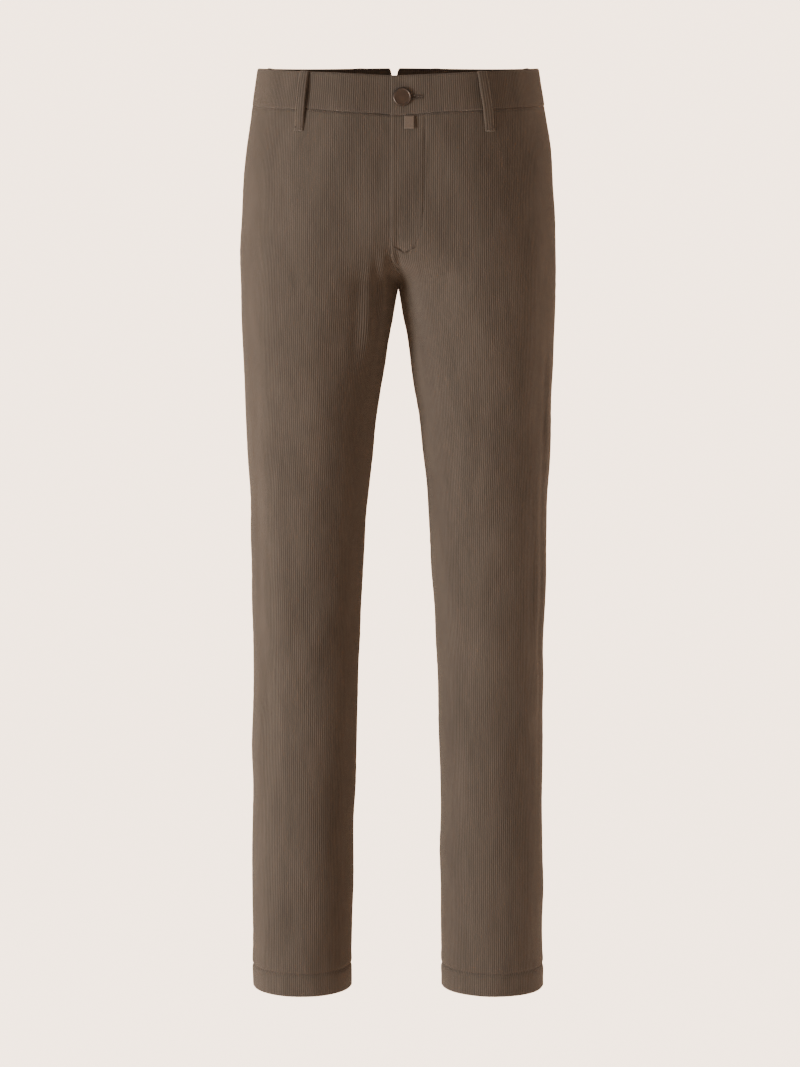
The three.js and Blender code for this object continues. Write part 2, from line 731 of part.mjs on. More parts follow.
// Fronts, backs and pockets
for (const [side, name] of [[RIGHT, 'right'], [LEFT, 'left']]) {
  addPiece(`front_${name}`, panelGeometry(side, 'front'), CLOTH_COLOUR);
  addPiece(`back_${name}`, panelGeometry(side, 'back'), CLOTH_COLOUR);
  addPiece(`pocket_${name}`, pocketGeometry(side), POCKET_COLOUR);
}

// Waistband halves, the left one with the buttonhole
addPiece('waistband_right', bandGeometry(RIGHT), CLOTH_COLOUR);
addPiece('waistband_left', cutGeometry(bandGeometry(LEFT), buttonholeCutter()), CLOTH_COLOUR);

LOOPS.forEach((loop, index) => addPiece(LOOP_NAMES[index], loopGeometry(loop), CLOTH_COLOUR));

// Closure: button, keeper tab, zip, slider and shield
const { seat, direction } = buttonSeat();
const button = addPiece('waist_button', buttonGeometry(), BUTTON_COLOUR, 0.4, 0.8);
button.position.copy(seat);
button.quaternion.setFromUnitVectors(new THREE.Vector3(0, 1, 0), direction);

addPiece('keeper_tab', stripGeometry(KEEPER_TAB), CLOTH_COLOUR);
addPiece('fly_zip', stripGeometry(FLY_ZIP), ZIP_COLOUR);
addPiece('fly_shield', stripGeometry(FLY_SHIELD), POCKET_COLOUR);

const sliderFront = halfSection(LEFT, SLIDER.z, 'front').length;
const sliderRange = [-sliderFront - PAST_CENTRE, 0];
const sliderPlace = -sliderFront + SLIDER.x;
const slider = addPiece('zip_slider', sliderGeometry(), ZIP_COLOUR, 0.4, 0.8);
slider.position.copy(clothPoint(LEFT, SLIDER.z, sliderPlace, ZIP_OUTSIDE + SEAM_GAP, sliderRange));
slider.quaternion.setFromUnitVectors(
  new THREE.Vector3(0, 0, 1),
  outward(LEFT, SLIDER.z, sliderPlace, sliderRange),
);

export default trousers;
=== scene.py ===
"""Corduroy trousers, filled out as worn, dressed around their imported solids.

Sizes are in millimetres up to the point where a mesh is made, which is in metres. The wearer's right is
on -X, the front faces -Y and the origin is the middle of the waist opening, as in the frame.
"""

from __future__ import annotations

import logging
import math
from dataclasses import dataclass, field
from enum import Enum

import bpy
import numpy as np
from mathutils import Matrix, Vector

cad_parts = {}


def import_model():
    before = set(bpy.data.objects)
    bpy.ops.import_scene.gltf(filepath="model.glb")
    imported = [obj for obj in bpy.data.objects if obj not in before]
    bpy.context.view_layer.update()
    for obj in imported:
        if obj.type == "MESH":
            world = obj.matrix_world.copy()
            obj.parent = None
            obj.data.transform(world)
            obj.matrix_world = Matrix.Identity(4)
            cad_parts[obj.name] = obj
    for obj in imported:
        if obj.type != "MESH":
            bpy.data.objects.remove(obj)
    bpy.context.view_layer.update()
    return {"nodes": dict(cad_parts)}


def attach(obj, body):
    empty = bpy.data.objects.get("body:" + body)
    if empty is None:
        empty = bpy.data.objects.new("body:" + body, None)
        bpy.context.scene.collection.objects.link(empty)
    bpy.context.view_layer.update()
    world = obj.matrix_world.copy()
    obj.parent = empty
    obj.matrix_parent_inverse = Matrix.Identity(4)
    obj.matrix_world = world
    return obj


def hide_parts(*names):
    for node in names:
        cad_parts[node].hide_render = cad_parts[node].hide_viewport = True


LOG = logging.getLogger("trousers")
MM = 0.001
BODY = "root"

# Main sizes of the garment
CROTCH_Z = -219.0
HEM_Z = -1020.0
YOKE_Z = -90.0
CLOTH = 1.4
SEAM_GAP = 0.3
BAND_CLOTH = 2.6
BAND_STAND = 0.6
FLY_REACH = 40.0

# The corduroy's ribs
WALE_PITCH = 2.32
WALE_HEIGHT = 0.62
WALE_SHAPE = (0.0, 0.84, 1.0, 0.84)
SAMPLES = len(WALE_SHAPE)
SAMPLE_STEP = WALE_PITCH / SAMPLES
WALE_SINK = 0.6
# Rib place given to the cut edges, which gives them part of the grooves' painted shade
EDGE_RIDGE = 0.35


class Side(Enum):
    """The wearer's sides, as the sign of X."""

    RIGHT = -1
    LEFT = 1

    @property
    def label(self) -> str:
        """Name used in node names and table columns."""
        return self.name.lower()

    @property
    def other(self) -> Side:
        """The opposite side."""
        return Side.LEFT if self is Side.RIGHT else Side.RIGHT


class Face(Enum):
    """Front or back of the body, as the sign of a place along a section."""

    FRONT = -1
    BACK = 1

    @property
    def label(self) -> str:
        """Name used in node names."""
        return self.name.lower()

    @property
    def other(self) -> Face:
        """The opposite face."""
        return Face.BACK if self is Face.FRONT else Face.FRONT


def smooth(start: float, end: float, value: np.ndarray | float) -> np.ndarray:
    """Smooth step of a value.

    Args:
        start: Value where the step is 0.
        end: Value where the step is 1.
        value: The value or values to place on the step.

    Returns:
        The step's height at each value.
    """
    t = np.clip((value - start) / (end - start), 0.0, 1.0)
    return t * t * (3 - 2 * t)


@dataclass(frozen=True)
class LevelTable:
    """Sizes by height, read with a smooth curve that doesn't overshoot its rows."""

    columns: tuple[str, ...]
    rows: tuple[tuple[float, ...], ...]

    def at(self, name: str, z: np.ndarray | float) -> np.ndarray:
        """Reads one column at any heights.

        Args:
            name: The column.
            z: Heights, held inside the table's own range.

        Returns:
            The column's value at each height.
        """
        rows = np.array(sorted(self.rows))
        levels = rows[:, 0]
        values = rows[:, self.columns.index(name)]
        slopes = np.diff(values) / np.diff(levels)
        before, after = slopes[:-1], slopes[1:]
        same_way = before * after > 0
        total = np.where(same_way, before + after, 1.0)
        inner = np.where(same_way, 2 * before * after / total, 0.0)
        tangents = np.concatenate([slopes[:1], inner, slopes[-1:]])
        z = np.clip(z, levels[0], levels[-1])
        i = np.clip(np.searchsorted(levels, z, side="right") - 1, 0, len(levels) - 2)
        span = levels[i + 1] - levels[i]
        t = (z - levels[i]) / span
        bend = t * t * (3 - 2 * t)
        value = values[i] * (1 - bend) + values[i + 1] * bend
        return value + span * (t * (1 - t) ** 2 * tangents[i] - t * t * (1 - t) * tangents[i + 1])


# Overall width of each half, from the centre plane to the side seam
WIDTHS = LevelTable(("z", "right", "left"), (
    (30, 154, 153.5),
    (0, 159, 158.6),
    (-36, 163.7, 164.2),
    (-70, 168.5, 168.9),
    (-104, 172.8, 172.4),
    (-154, 175.4, 175.2),
    (-196, 176.4, 175.9),
    (-219, 176, 175.7),
    (-254, 175.1, 174.9),
    (-316, 173.4, 173),
    (-394, 169.6, 170.3),
    (-473, 166.7, 167.4),
    (-553, 165.4, 165.6),
    (-633, 164.2, 163.9),
    (-714, 165.1, 163.4),
    (-795, 165.4, 163.5),
    (-876, 166.2, 164.3),
    (-957, 166.5, 164.9),
    (-1020, 166.2, 165),
))

# Where each leg's inner side lies, from the centre plane
INNER_LEG = LevelTable(("z", "right", "left"), (
    (-219, 0, 0),
    (-254, 6.7, 6.6),
    (-316, 16.8, 16),
    (-394, 27.7, 26.7),
    (-473, 35.5, 33.8),
    (-553, 40.9, 38.8),
    (-633, 44.5, 43.2),
    (-714, 47.1, 46.3),
    (-795, 49.5, 47.8),
    (-876, 51.8, 48.2),
    (-957, 53.1, 48.8),
    (-1020, 54.1, 49.8),
))

# Front and back reach of each half, the places of those crests, and of the side seam and inseam
DEPTHS = LevelTable(("z", "front_x", "front_y", "back_x", "back_y", "side_y", "inseam_y"), (
    (30, 45, -103, 50, 104, 0, -16),
    (0, 45, -104.5, 52, 106, 0, -16),
    (-36, 48, -107, 58, 112, 0, -16),
    (-70, 52, -109, 66, 119, 1, -16),
    (-104, 58, -110.5, 74, 126, 2, -16),
    (-154, 72, -111.5, 82, 130, 3, -16),
    (-196, 84, -110, 87, 125, 3, -16),
    (-219, 88, -108, 89, 117.5, 2, -16),
    (-254, 91, -104, 91, 107, 0, -11),
    (-316, 95, -97.5, 95, 94.5, -1, -3),
    (-394, 98.5, -89, 98.5, 82.5, -3, 1),
    (-473, 101, -80.5, 101, 71.5, -4.5, 1),
    (-553, 103, -73.5, 103, 64, -5, 0),
    (-633, 104, -67, 104, 65, -1, 2),
    (-714, 105, -62, 105, 68, 3, 4),
    (-795, 106, -59, 106, 68, 4.5, 5),
    (-876, 107, -57.2, 107, 66, 4.5, 5),
    (-957, 108.5, -56.2, 108.5, 64, 4, 4),
    (-1020, 109, -55.5, 109, 62, 3.5, 4),
))

# The grain line that a panel's ribs run along, from the centre plane
GRAIN = LevelTable(("z", "x"), (
    (30, 91),
    (-150, 91),
    (-316, 94.5),
    (-473, 100.5),
    (-633, 103.5),
    (-795, 106),
    (-1020, 109),
))

# The turned-up hem: its faces as distances from the cloth's surface
HEM = LevelTable(("z", "outside", "inside"), (
    (-978, 0, -CLOTH),
    (-990, 0.5, -CLOTH),
    (-994, -0.4, -2.4),
    (-998, 0.6, -2.4),
    (-1010, 0.5, -2.4),
    (-1018.6, 0.3, -2.2),
    (HEM_Z, -0.5, -1.5),
))

# Above the crotch each leg's curve goes on past the centre plane, which cuts it at the centre seam
FORK_SLOPE = 0.19
FORK_TURN = {Face.FRONT: 16.0, Face.BACK: 32.0}
ROUNDNESS = 0.57

# The fly and the band's laps
FLY_LAP = 8.0
FLY_END_Z = -190.0
FLY_FADE = 11.0
FLY_DIP = CLOTH + SEAM_GAP + 0.05
UNDERLAP = 2.0
DIP_START = 34.0
DIP_END = 10.0
DIP_FADE = 8.0
BACK_SEAM_LEAN = 4.6
SEAT_OVERLAP = 0.4

# Side-seam pocket mouths
MOUTH_TOP_Z = -58.0
MOUTH_END_Z = -236.0
MOUTH_GAP = 1.8

# Where the hem's stitching runs
HEM_STITCH_Z = -994.0


@dataclass(frozen=True)
class BandEdge:
    """Height of one of the waistband's edges, from the side seam to centre front or back."""

    side: float
    front: tuple[float, float]
    back: tuple[float, float]

    def at(self, share: np.ndarray) -> np.ndarray:
        """Reads the edge's height.

        Args:
            share: -1 at centre front, 0 at the side seam and 1 at centre back.

        Returns:
            The height at each share.
        """
        slope = np.where(share < 0, self.front[0], self.back[0])
        bend = np.where(share < 0, self.front[1], self.back[1])
        return self.side + slope * share + bend * share * share


BAND_TOP = BandEdge(20.2, (20.4, 6.5), (11.5, -5.0))
BAND_SEAM = BandEdge(-21.5, (15.0, 0.0), (15.0, -7.5))


@dataclass(frozen=True)
class Fold:
    """A soft ridge or trough on one face, along a line given by X and height at both its ends."""

    face: Face
    x0: float
    z0: float
    x1: float
    z1: float
    width: float
    height: float

    def at(self, x: np.ndarray, z: np.ndarray) -> np.ndarray:
        """Height of this fold over points of the cloth.

        Args:
            x: Places across the body.
            z: Heights.

        Returns:
            The fold's height at each point.
        """
        along_x, along_z = self.x1 - self.x0, self.z1 - self.z0
        square = along_x**2 + along_z**2
        share = np.clip(((x - self.x0) * along_x + (z - self.z0) * along_z) / square, 0, 1)
        off_x = x - self.x0 - share * along_x
        off_z = z - self.z0 - share * along_z
        rise = np.sin(math.pi * (0.12 + 0.76 * share))
        return self.height * rise * np.exp(-(off_x**2 + off_z**2) / self.width**2)


# The largest folds, which the solids have too
FOLDS = (
    Fold(Face.FRONT, -26, -190, -36, -300, 11, 2.2),
    Fold(Face.FRONT, -13, -205, -22, -292, 8, -1.6),
    Fold(Face.FRONT, 24, -196, 44, -286, 12, 1.8),
    Fold(Face.FRONT, 12, -212, 27, -300, 8, -1.4),
    Fold(Face.FRONT, -150, -610, -142, -790, 9, -1.6),
    Fold(Face.FRONT, -128, -560, -118, -720, 13, 1.6),
    Fold(Face.FRONT, 146, -420, 150, -640, 10, -1.5),
    Fold(Face.FRONT, 118, -640, 140, -800, 15, -1.6),
    Fold(Face.BACK, -38, -232, -128, -262, 11, -3),
    Fold(Face.BACK, 34, -228, 132, -256, 12, -3.2),
    Fold(Face.BACK, -52, -292, -118, -330, 14, -2),
    Fold(Face.BACK, 50, -300, 112, -326, 13, -1.8),
    Fold(Face.BACK, -66, -548, -142, -566, 12, -3.4),
    Fold(Face.BACK, 62, -556, 138, -544, 13, -3),
    Fold(Face.BACK, -70, -612, -136, -596, 14, -2.2),
    Fold(Face.BACK, 68, -606, 140, -624, 13, -2.4),
)

# Finer creases, which only the cloth in this scene has
FINE_FOLDS = (
    Fold(Face.FRONT, -5, -192, 4, -226, 2.6, 1.3),
    Fold(Face.FRONT, 5, -226, 9, -262, 3.2, 1.2),
    Fold(Face.FRONT, 0, -192, 10, -226, 3.2, -1.0),
    Fold(Face.FRONT, -9, -190, -12, -236, 4.0, -2.2),
    Fold(Face.FRONT, -17, -186, -21, -276, 4.6, 2.3),
    Fold(Face.FRONT, -25, -192, -30, -290, 4.2, -2.0),
    Fold(Face.FRONT, -33, -194, -39, -300, 5.0, 1.6),
    Fold(Face.FRONT, -43, -206, -50, -320, 6.0, -1.2),
    Fold(Face.FRONT, -27, -196, -38, -340, 15.0, 2.6),
    Fold(Face.FRONT, -9, -206, -14, -268, 8.0, 2.0),
    Fold(Face.FRONT, 8, -214, 12, -270, 6.0, 1.6),
    Fold(Face.FRONT, 24, -196, 36, -330, 14.0, 2.6),
    Fold(Face.FRONT, 16, -226, 30, -318, 5.0, 0.9),
    Fold(Face.FRONT, 26, -214, 42, -300, 5.0, -0.8),
    Fold(Face.FRONT, -14, -152, -2, -157, 2.2, -0.9),
    Fold(Face.FRONT, -2, -157, 12, -162, 2.2, -0.5),
    Fold(Face.FRONT, -161, -320, -156, -630, 7, -2.2),
    Fold(Face.FRONT, -133, -320, -128, -660, 14, 1.9),
    Fold(Face.FRONT, -157, -700, -160, -900, 7, 1.2),
    Fold(Face.FRONT, -128, -340, -120, -560, 9, -0.8),
    Fold(Face.FRONT, 168, -290, 163.5, -430, 2.2, 1.7),
    Fold(Face.FRONT, 163.5, -420, 161.5, -640, 2.2, 1.5),
    Fold(Face.FRONT, 163.5, -300, 159.5, -460, 2.2, -1.5),
    Fold(Face.FRONT, 159.5, -460, 158, -800, 2.2, -1.2),
    Fold(Face.FRONT, 155, -430, 154, -700, 3.5, 1.3),
    Fold(Face.FRONT, 160.5, -640, 160, -880, 2.4, 1.1),
    Fold(Face.FRONT, 66, -260, 74, -400, 9, 0.8),
    Fold(Face.FRONT, 84, -300, 92, -440, 9, -0.7),
    Fold(Face.FRONT, -110, -880, -124, -962, 9, -0.8),
    Fold(Face.FRONT, -78, -900, -62, -966, 8, -0.7),
    Fold(Face.FRONT, 104, -900, 118, -964, 9, -0.8),
    Fold(Face.FRONT, 118, -720, 92, -758, 9, -0.6),
    Fold(Face.FRONT, 112, -470, 84, -500, 8, -0.6),
    Fold(Face.FRONT, -60, -34, -92, -52, 9, -0.7),
    Fold(Face.FRONT, -34, -38, -62, -44, 8, -0.6),
    Fold(Face.FRONT, 52, -40, 84, -64, 10, -0.8),
    Fold(Face.FRONT, 30, -40, 34, -120, 6, -0.7),
    Fold(Face.FRONT, 28, -124, 30, -176, 7, 0.8),
    Fold(Face.FRONT, -12, -44, -13, -180, 5, 0.7),
    Fold(Face.FRONT, -16, -176, -44, -196, 7, -0.7),
    Fold(Face.FRONT, 10, -196, 46, -214, 8, -0.8),
    Fold(Face.FRONT, 30, -176, 70, -206, 10, 0.7),
    Fold(Face.FRONT, -150, -62, -138, -118, 9, 0.8),
    Fold(Face.FRONT, 152, -66, 142, -130, 9, 0.8),
    Fold(Face.FRONT, -160, -250, -152, -380, 10, -0.9),
    Fold(Face.FRONT, 158, -262, 148, -390, 11, -0.9),
    Fold(Face.FRONT, -58, -420, -66, -560, 9, 0.9),
    Fold(Face.FRONT, 60, -470, 70, -620, 10, 0.9),
    Fold(Face.FRONT, -72, -780, -66, -930, 9, -0.8),
    Fold(Face.FRONT, 70, -800, 64, -940, 9, -0.8),
    Fold(Face.FRONT, -96, -940, -128, -972, 12, 0.6),
    Fold(Face.FRONT, 92, -930, 132, -966, 12, 0.6),
    Fold(Face.BACK, -80, -28, -78, -98, 4, -0.9),
    Fold(Face.BACK, 80, -28, 78, -98, 4, -0.9),
    Fold(Face.BACK, -22, -206, -70, -236, 8, -1.2),
    Fold(Face.BACK, 24, -210, 66, -238, 8, -1.2),
    Fold(Face.BACK, -84, -582, -128, -578, 9, 1.6),
    Fold(Face.BACK, 78, -580, 126, -586, 9, 1.6),
    Fold(Face.BACK, -58, -500, -92, -532, 11, -1.4),
    Fold(Face.BACK, 56, -508, 96, -530, 11, -1.4),
    Fold(Face.BACK, -120, -640, -138, -720, 12, -1.1),
    Fold(Face.BACK, 118, -650, 138, -730, 12, -1.1),
    Fold(Face.BACK, -74, -860, -130, -884, 14, -0.8),
    Fold(Face.BACK, 70, -874, 128, -862, 14, -0.8),
)

# Slow unevenness of worn cloth: wavelengths across and up, phase and height
UNEVEN = (
    (113.0, 167.0, 0.7, 0.42),
    (71.0, -118.0, 2.1, 0.3),
    (-47.0, 83.0, 4.4, 0.2),
    (31.0, 61.0, 5.2, 0.09),
)


def cloth_relief(face: Face, x: np.ndarray, z: np.ndarray, fine: bool = True) -> np.ndarray:
    """Height of the folds over points of the cloth.

    Args:
        face: The body's side that the points are on.
        x: Places across the body.
        z: Heights.
        fine: Whether the finer creases are added to the largest folds.

    Returns:
        How far the cloth stands out at each point.
    """
    height = np.zeros(np.broadcast(x, z).shape)
    for crease in FOLDS + (FINE_FOLDS if fine else ()):
        if crease.face is face:
            height += crease.at(x, z)
    if fine:
        for across, up, phase, size in UNEVEN:
            height += size * np.sin(2 * math.pi * (x / across + z / up) + phase)
    return height


class BodyForm:
    """The smooth body surface that every panel lies on, measured by distance from the side seams."""

    ARC_STEPS = 110
    REACH = 390.0
    PLACE_STEP = 1.0
    SLOPE_STEP = 1.2

    def __init__(self) -> None:
        """Measures every section once."""
        near_fork = 0.02 * np.arange(24) ** 2
        parts = [np.arange(-1024.0, 38.0, 2.0), CROTCH_Z + near_fork, CROTCH_Z - near_fork]
        self.levels = np.unique(np.concatenate(parts))
        self.places = np.arange(0.0, self.REACH + self.PLACE_STEP, self.PLACE_STEP)
        self.grid: dict[tuple[Side, Face], np.ndarray] = {}
        self.lengths: dict[tuple[Side, Face], np.ndarray] = {}
        self.grain: dict[tuple[Side, Face], np.ndarray] = {}
        keys = [(side, face) for side in Side for face in Face]
        sections = {key: [self.section(*key, z) for z in self.levels] for key in keys}
        for key in keys:
            self.measure(key, sections)

    @staticmethod
    def section(side: Side, face: Face, z: float) -> tuple[np.ndarray, np.ndarray]:
        """One quarter of a horizontal section, from the side seam to the centre seam or inseam.

        Args:
            side: The wearer's side.
            face: Front or back.
            z: Height.

        Returns:
            The quarter's points, with X positive, and their distances from the side seam.
        """
        outer = WIDTHS.at(side.label, z)
        inner = INNER_LEG.at(side.label, z) + SEAM_GAP / 2
        inseam_y = DEPTHS.at("inseam_y", z)
        side_y = DEPTHS.at("side_y", z)
        crest_x = DEPTHS.at(f"{face.label}_x", z)
        crest_y = DEPTHS.at(f"{face.label}_y", z)
        t = np.linspace(0, 1, BodyForm.ARC_STEPS + 1)[:, None]
        start = np.array([outer, side_y])
        leave = np.array([outer, side_y + ROUNDNESS * (crest_y - side_y)])
        arrive = np.array([crest_x + ROUNDNESS * (outer - crest_x), crest_y])
        crest = np.array([crest_x, crest_y])
        rest = 1 - t
        outer_arc = rest**3 * start + 3 * rest**2 * t * leave + 3 * rest * t**2 * arrive + t**3 * crest
        above = max(z - CROTCH_Z, 0.0)
        reach = crest_x - inner + FORK_SLOPE * above + above**2 / FORK_TURN[face]
        angle = math.asin((crest_x - inner) / reach) * t[1:, 0]
        inner_x = crest_x - reach * np.sin(angle)
        inner_y = inseam_y + (crest_y - inseam_y) * np.cos(angle)
        points = np.concatenate([outer_arc, np.stack([inner_x, inner_y], axis=1)])
        steps = np.hypot(*np.diff(points, axis=0).T)
        return points, np.concatenate([[0.0], np.cumsum(steps)])

    def measure(self, key: tuple[Side, Face], sections: dict) -> None:
        """Fills one quarter's grid of points, carried on past its centre seam or inseam.

        Args:
            key: The quarter's side and face.
            sections: Each quarter's sections at every level.
        """
        side, face = key
        grid = np.empty((len(self.levels), len(self.places), 2))
        lengths = np.empty(len(self.levels))
        grain = np.empty(len(self.levels))
        for row, z in enumerate(self.levels):
            points, along = sections[key][row]
            lengths[row] = along[-1]
            grain[row] = np.interp(-GRAIN.at("x", z), -points[:, 0], along)
            beyond = (side, face.other) if z < CROTCH_Z else (side.other, face)
            far_points, far_along = sections[beyond][row]
            past = self.places - along[-1]
            inside = past <= 0
            for axis, signs in ((0, (side.value, beyond[0].value)), (1, (1, 1))):
                own = signs[0] * np.interp(self.places, along, points[:, axis])
                far = signs[1] * np.interp(far_along[-1] - past, far_along, far_points[:, axis])
                grid[row, :, axis] = np.where(inside, own, far)
        self.grid[key] = grid
        self.lengths[key] = lengths
        self.grain[key] = grain

    def length(self, side: Side, face: Face, z: np.ndarray | float) -> np.ndarray:
        """Distance round a quarter from the side seam to its inner edge."""
        return np.interp(z, self.levels, self.lengths[side, face])

    def grain_place(self, side: Side, face: Face, z: np.ndarray | float) -> np.ndarray:
        """Distance of the grain line from the side seam."""
        return np.interp(z, self.levels, self.grain[side, face])

    def point(self, side: Side, z: np.ndarray, s: np.ndarray) -> np.ndarray:
        """Points of the body surface.

        Args:
            side: The wearer's side.
            z: Heights.
            s: Signed distances from the side seam, with the front negative.

        Returns:
            The points, in an array with one more axis.
        """
        z, s = np.broadcast_arrays(np.asarray(z, float), np.asarray(s, float))
        row = np.clip(np.searchsorted(self.levels, z, side="right") - 1, 0, len(self.levels) - 2)
        down = np.clip((z - self.levels[row]) / (self.levels[row + 1] - self.levels[row]), 0, 1)[..., None]
        place = np.clip(np.abs(s) / self.PLACE_STEP, 0, len(self.places) - 1.001)
        column = place.astype(int)
        across = (place - column)[..., None]
        flat = np.empty(z.shape + (2,))
        for face in Face:
            mask = (s < 0) == (face is Face.FRONT)
            grid = self.grid[side, face]
            i, j, u, v = row[mask], column[mask], across[mask], down[mask]
            low = grid[i, j] * (1 - u) + grid[i, j + 1] * u
            high = grid[i + 1, j] * (1 - u) + grid[i + 1, j + 1] * u
            flat[mask] = low * (1 - v) + high * v
        return np.concatenate([flat, z[..., None]], axis=-1)

    def outward(
        self, side: Side, z: np.ndarray, s: np.ndarray, low: np.ndarray, high: np.ndarray
    ) -> np.ndarray:
        """Outward directions of the body surface.

        Args:
            side: The wearer's side.
            z: Heights.
            s: Signed distances from the side seam.
            low: Lower end of the piece's own range of distances.
            high: Upper end of that range.

        Returns:
            Unit vectors, in an array with one more axis.
        """
        before = self.point(side, z, np.maximum(s - self.SLOPE_STEP, low))
        after = self.point(side, z, np.minimum(s + self.SLOPE_STEP, high))
        up = self.point(side, z, s) - self.point(side, z - self.SLOPE_STEP, s)
        out = np.cross(after - before, up) * side.value
        return out / np.linalg.norm(out, axis=-1, keepdims=True)

    def waist_share(self, side: Side, s: np.ndarray) -> np.ndarray:
        """Places along the waist line as shares.

        Args:
            side: The wearer's side.
            s: Signed distances from the side seam.

        Returns:
            -1 at centre front, 0 at the side seam and 1 at centre back.
        """
        front = np.abs(s) / self.length(side, Face.FRONT, BAND_SEAM.side)
        back = np.abs(s) / self.length(side, Face.BACK, BAND_SEAM.side)
        share = np.where(s < 0, front, back)
        return np.sign(s) * np.where(share > 1, 2 - share, share)

    def level_place(self, side: Side, z: np.ndarray, s: np.ndarray) -> np.ndarray:
        """Carries a place on the waist line up or down at its own share of the way round.

        Args:
            side: The wearer's side.
            z: Heights to carry it to.
            s: Signed distances from the side seam on the waist line.

        Returns:
            The distances at those heights.
        """
        carried = s.astype(float).copy() * np.ones_like(z)
        for face in Face:
            waist = self.length(side, face, 0.0)
            growth = self.length(side, face, z) - waist
            moved = s + face.value * growth * np.minimum(1, np.abs(s) / waist)
            carried = np.where((s < 0) == (face is Face.FRONT), moved, carried)
        return carried


def crown(columns: np.ndarray) -> np.ndarray:
    """Where each sample column lies on its rib, from 0 in the groove to 1 on the crest."""
    return np.array(WALE_SHAPE)[columns % SAMPLES]


def ribbed(columns: np.ndarray) -> np.ndarray:
    """Height of the ribs at sample columns, sunk so that they lie half in the cloth's thickness."""
    return WALE_HEIGHT * (crown(columns) - WALE_SINK)


@dataclass
class Wall:
    """A closed cloth wall between a finely ribbed outer face and a plainer inner one.

    Each row of points uses its columns from low to high: the ones at either end lie on the edges.
    """

    name: str
    outer: np.ndarray
    inner: np.ndarray
    low: np.ndarray
    high: np.ndarray
    stride: int
    ridge: np.ndarray
    inner_ridge: np.ndarray | None = None

    def _numbering(self, low: np.ndarray, high: np.ndarray, columns: int, start: int) -> np.ndarray:
        """Numbers a layer's vertices.

        Args:
            low: First column of each row.
            high: Last column of each row.
            columns: How many columns the layer has.
            start: The first number.

        Returns:
            The numbers by row and column, with columns past an edge sharing the edge's vertex.
        """
        sizes = high - low + 1
        offsets = start + np.concatenate([[0], np.cumsum(sizes)[:-1]])
        held = np.clip(np.arange(columns)[None, :], low[:, None], high[:, None])
        return offsets[:, None] + held - low[:, None]

    @staticmethod
    def _quads(ids: np.ndarray, flip: bool) -> list[list[int]]:
        """Makes a layer's faces.

        Args:
            ids: Vertex numbers by row and column.
            flip: Whether the faces are turned over.

        Returns:
            The faces, as triangles where two columns meet at an edge.
        """
        a, b = ids[:-1, :-1], ids[1:, :-1]
        c, d = ids[1:, 1:], ids[:-1, 1:]
        quads = np.stack([a, b, c, d], axis=-1).reshape(-1, 4)
        top_shut = quads[:, 0] == quads[:, 3]
        foot_shut = quads[:, 1] == quads[:, 2]
        faces = quads[~top_shut & ~foot_shut].tolist()
        faces += quads[top_shut & ~foot_shut][:, [0, 1, 2]].tolist()
        faces += quads[foot_shut & ~top_shut][:, [0, 1, 3]].tolist()
        return [face[::-1] for face in faces] if flip else faces

    def build(self, materials: list[bpy.types.Material], flip: bool) -> bpy.types.Object:
        """Makes the wall's object.

        Args:
            materials: The outer and inner finishes.
            flip: Whether the rows and columns run the other way round.

        Returns:
            The object.
        """
        columns = self.outer.shape[1]
        coarse = self.inner.shape[1]
        low, high = self.low, self.high
        coarse_low = low // self.stride
        coarse_high = -(-high // self.stride)
        outer_ids = self._numbering(low, high, columns, 0)
        outer_count = int((high - low + 1).sum())
        inner_ids = self._numbering(coarse_low, coarse_high, coarse, outer_count)
        used = np.arange(columns)[None, :]
        outer_used = (used >= low[:, None]) & (used <= high[:, None])
        used = np.arange(coarse)[None, :]
        inner_used = (used >= coarse_low[:, None]) & (used <= coarse_high[:, None])
        points = np.concatenate([self.outer[outer_used], self.inner[inner_used]]) * MM
        inner_ridge = np.full(inner_used.shape, 0.5) if self.inner_ridge is None else self.inner_ridge
        ridge = np.concatenate([self.ridge[outer_used], inner_ridge[inner_used]])
        outside = self._quads(outer_ids, flip)
        inside = self._quads(inner_ids, not flip)
        edges: list[list[int]] = []
        for row in range(len(low) - 1):
            edge = [outer_ids[row, 0], inner_ids[row, 0], inner_ids[row + 1, 0], outer_ids[row + 1, 0]]
            edges.append(edge[::-1] if flip else edge)
            edge = [outer_ids[row, -1], outer_ids[row + 1, -1], inner_ids[row + 1, -1], inner_ids[row, -1]]
            edges.append(edge[::-1] if flip else edge)
        for row, turned in ((0, flip), (len(low) - 1, not flip)):
            for step in range(coarse_low[row], coarse_high[row]):
                ends = np.clip([step * self.stride, (step + 1) * self.stride], low[row], high[row])
                rim = [outer_ids[row, column] for column in range(ends[0], ends[1] + 1)]
                rim += [inner_ids[row, step + 1], inner_ids[row, step]]
                edges.append(rim[::-1] if turned else rim)
        mesh = bpy.data.meshes.new(self.name)
        faces = outside + edges + inside
        mesh.from_pydata(points.tolist(), [], [[int(v) for v in face] for face in faces])
        mesh.polygons.foreach_set("use_smooth", [True] * len(faces))
        slots = [0] * (len(outside) + len(edges)) + [1] * len(inside)
        for material in materials:
            mesh.materials.append(material)
        mesh.polygons.foreach_set("material_index", slots)
        # Each point's place on its rib, which the corduroy uses for the painted shade in its grooves
        mesh.attributes.new("ridge", "FLOAT", "POINT").data.foreach_set("value", ridge)
        mesh.update()
        piece = bpy.data.objects.new(self.name, mesh)
        bpy.context.scene.collection.objects.link(piece)
        return piece


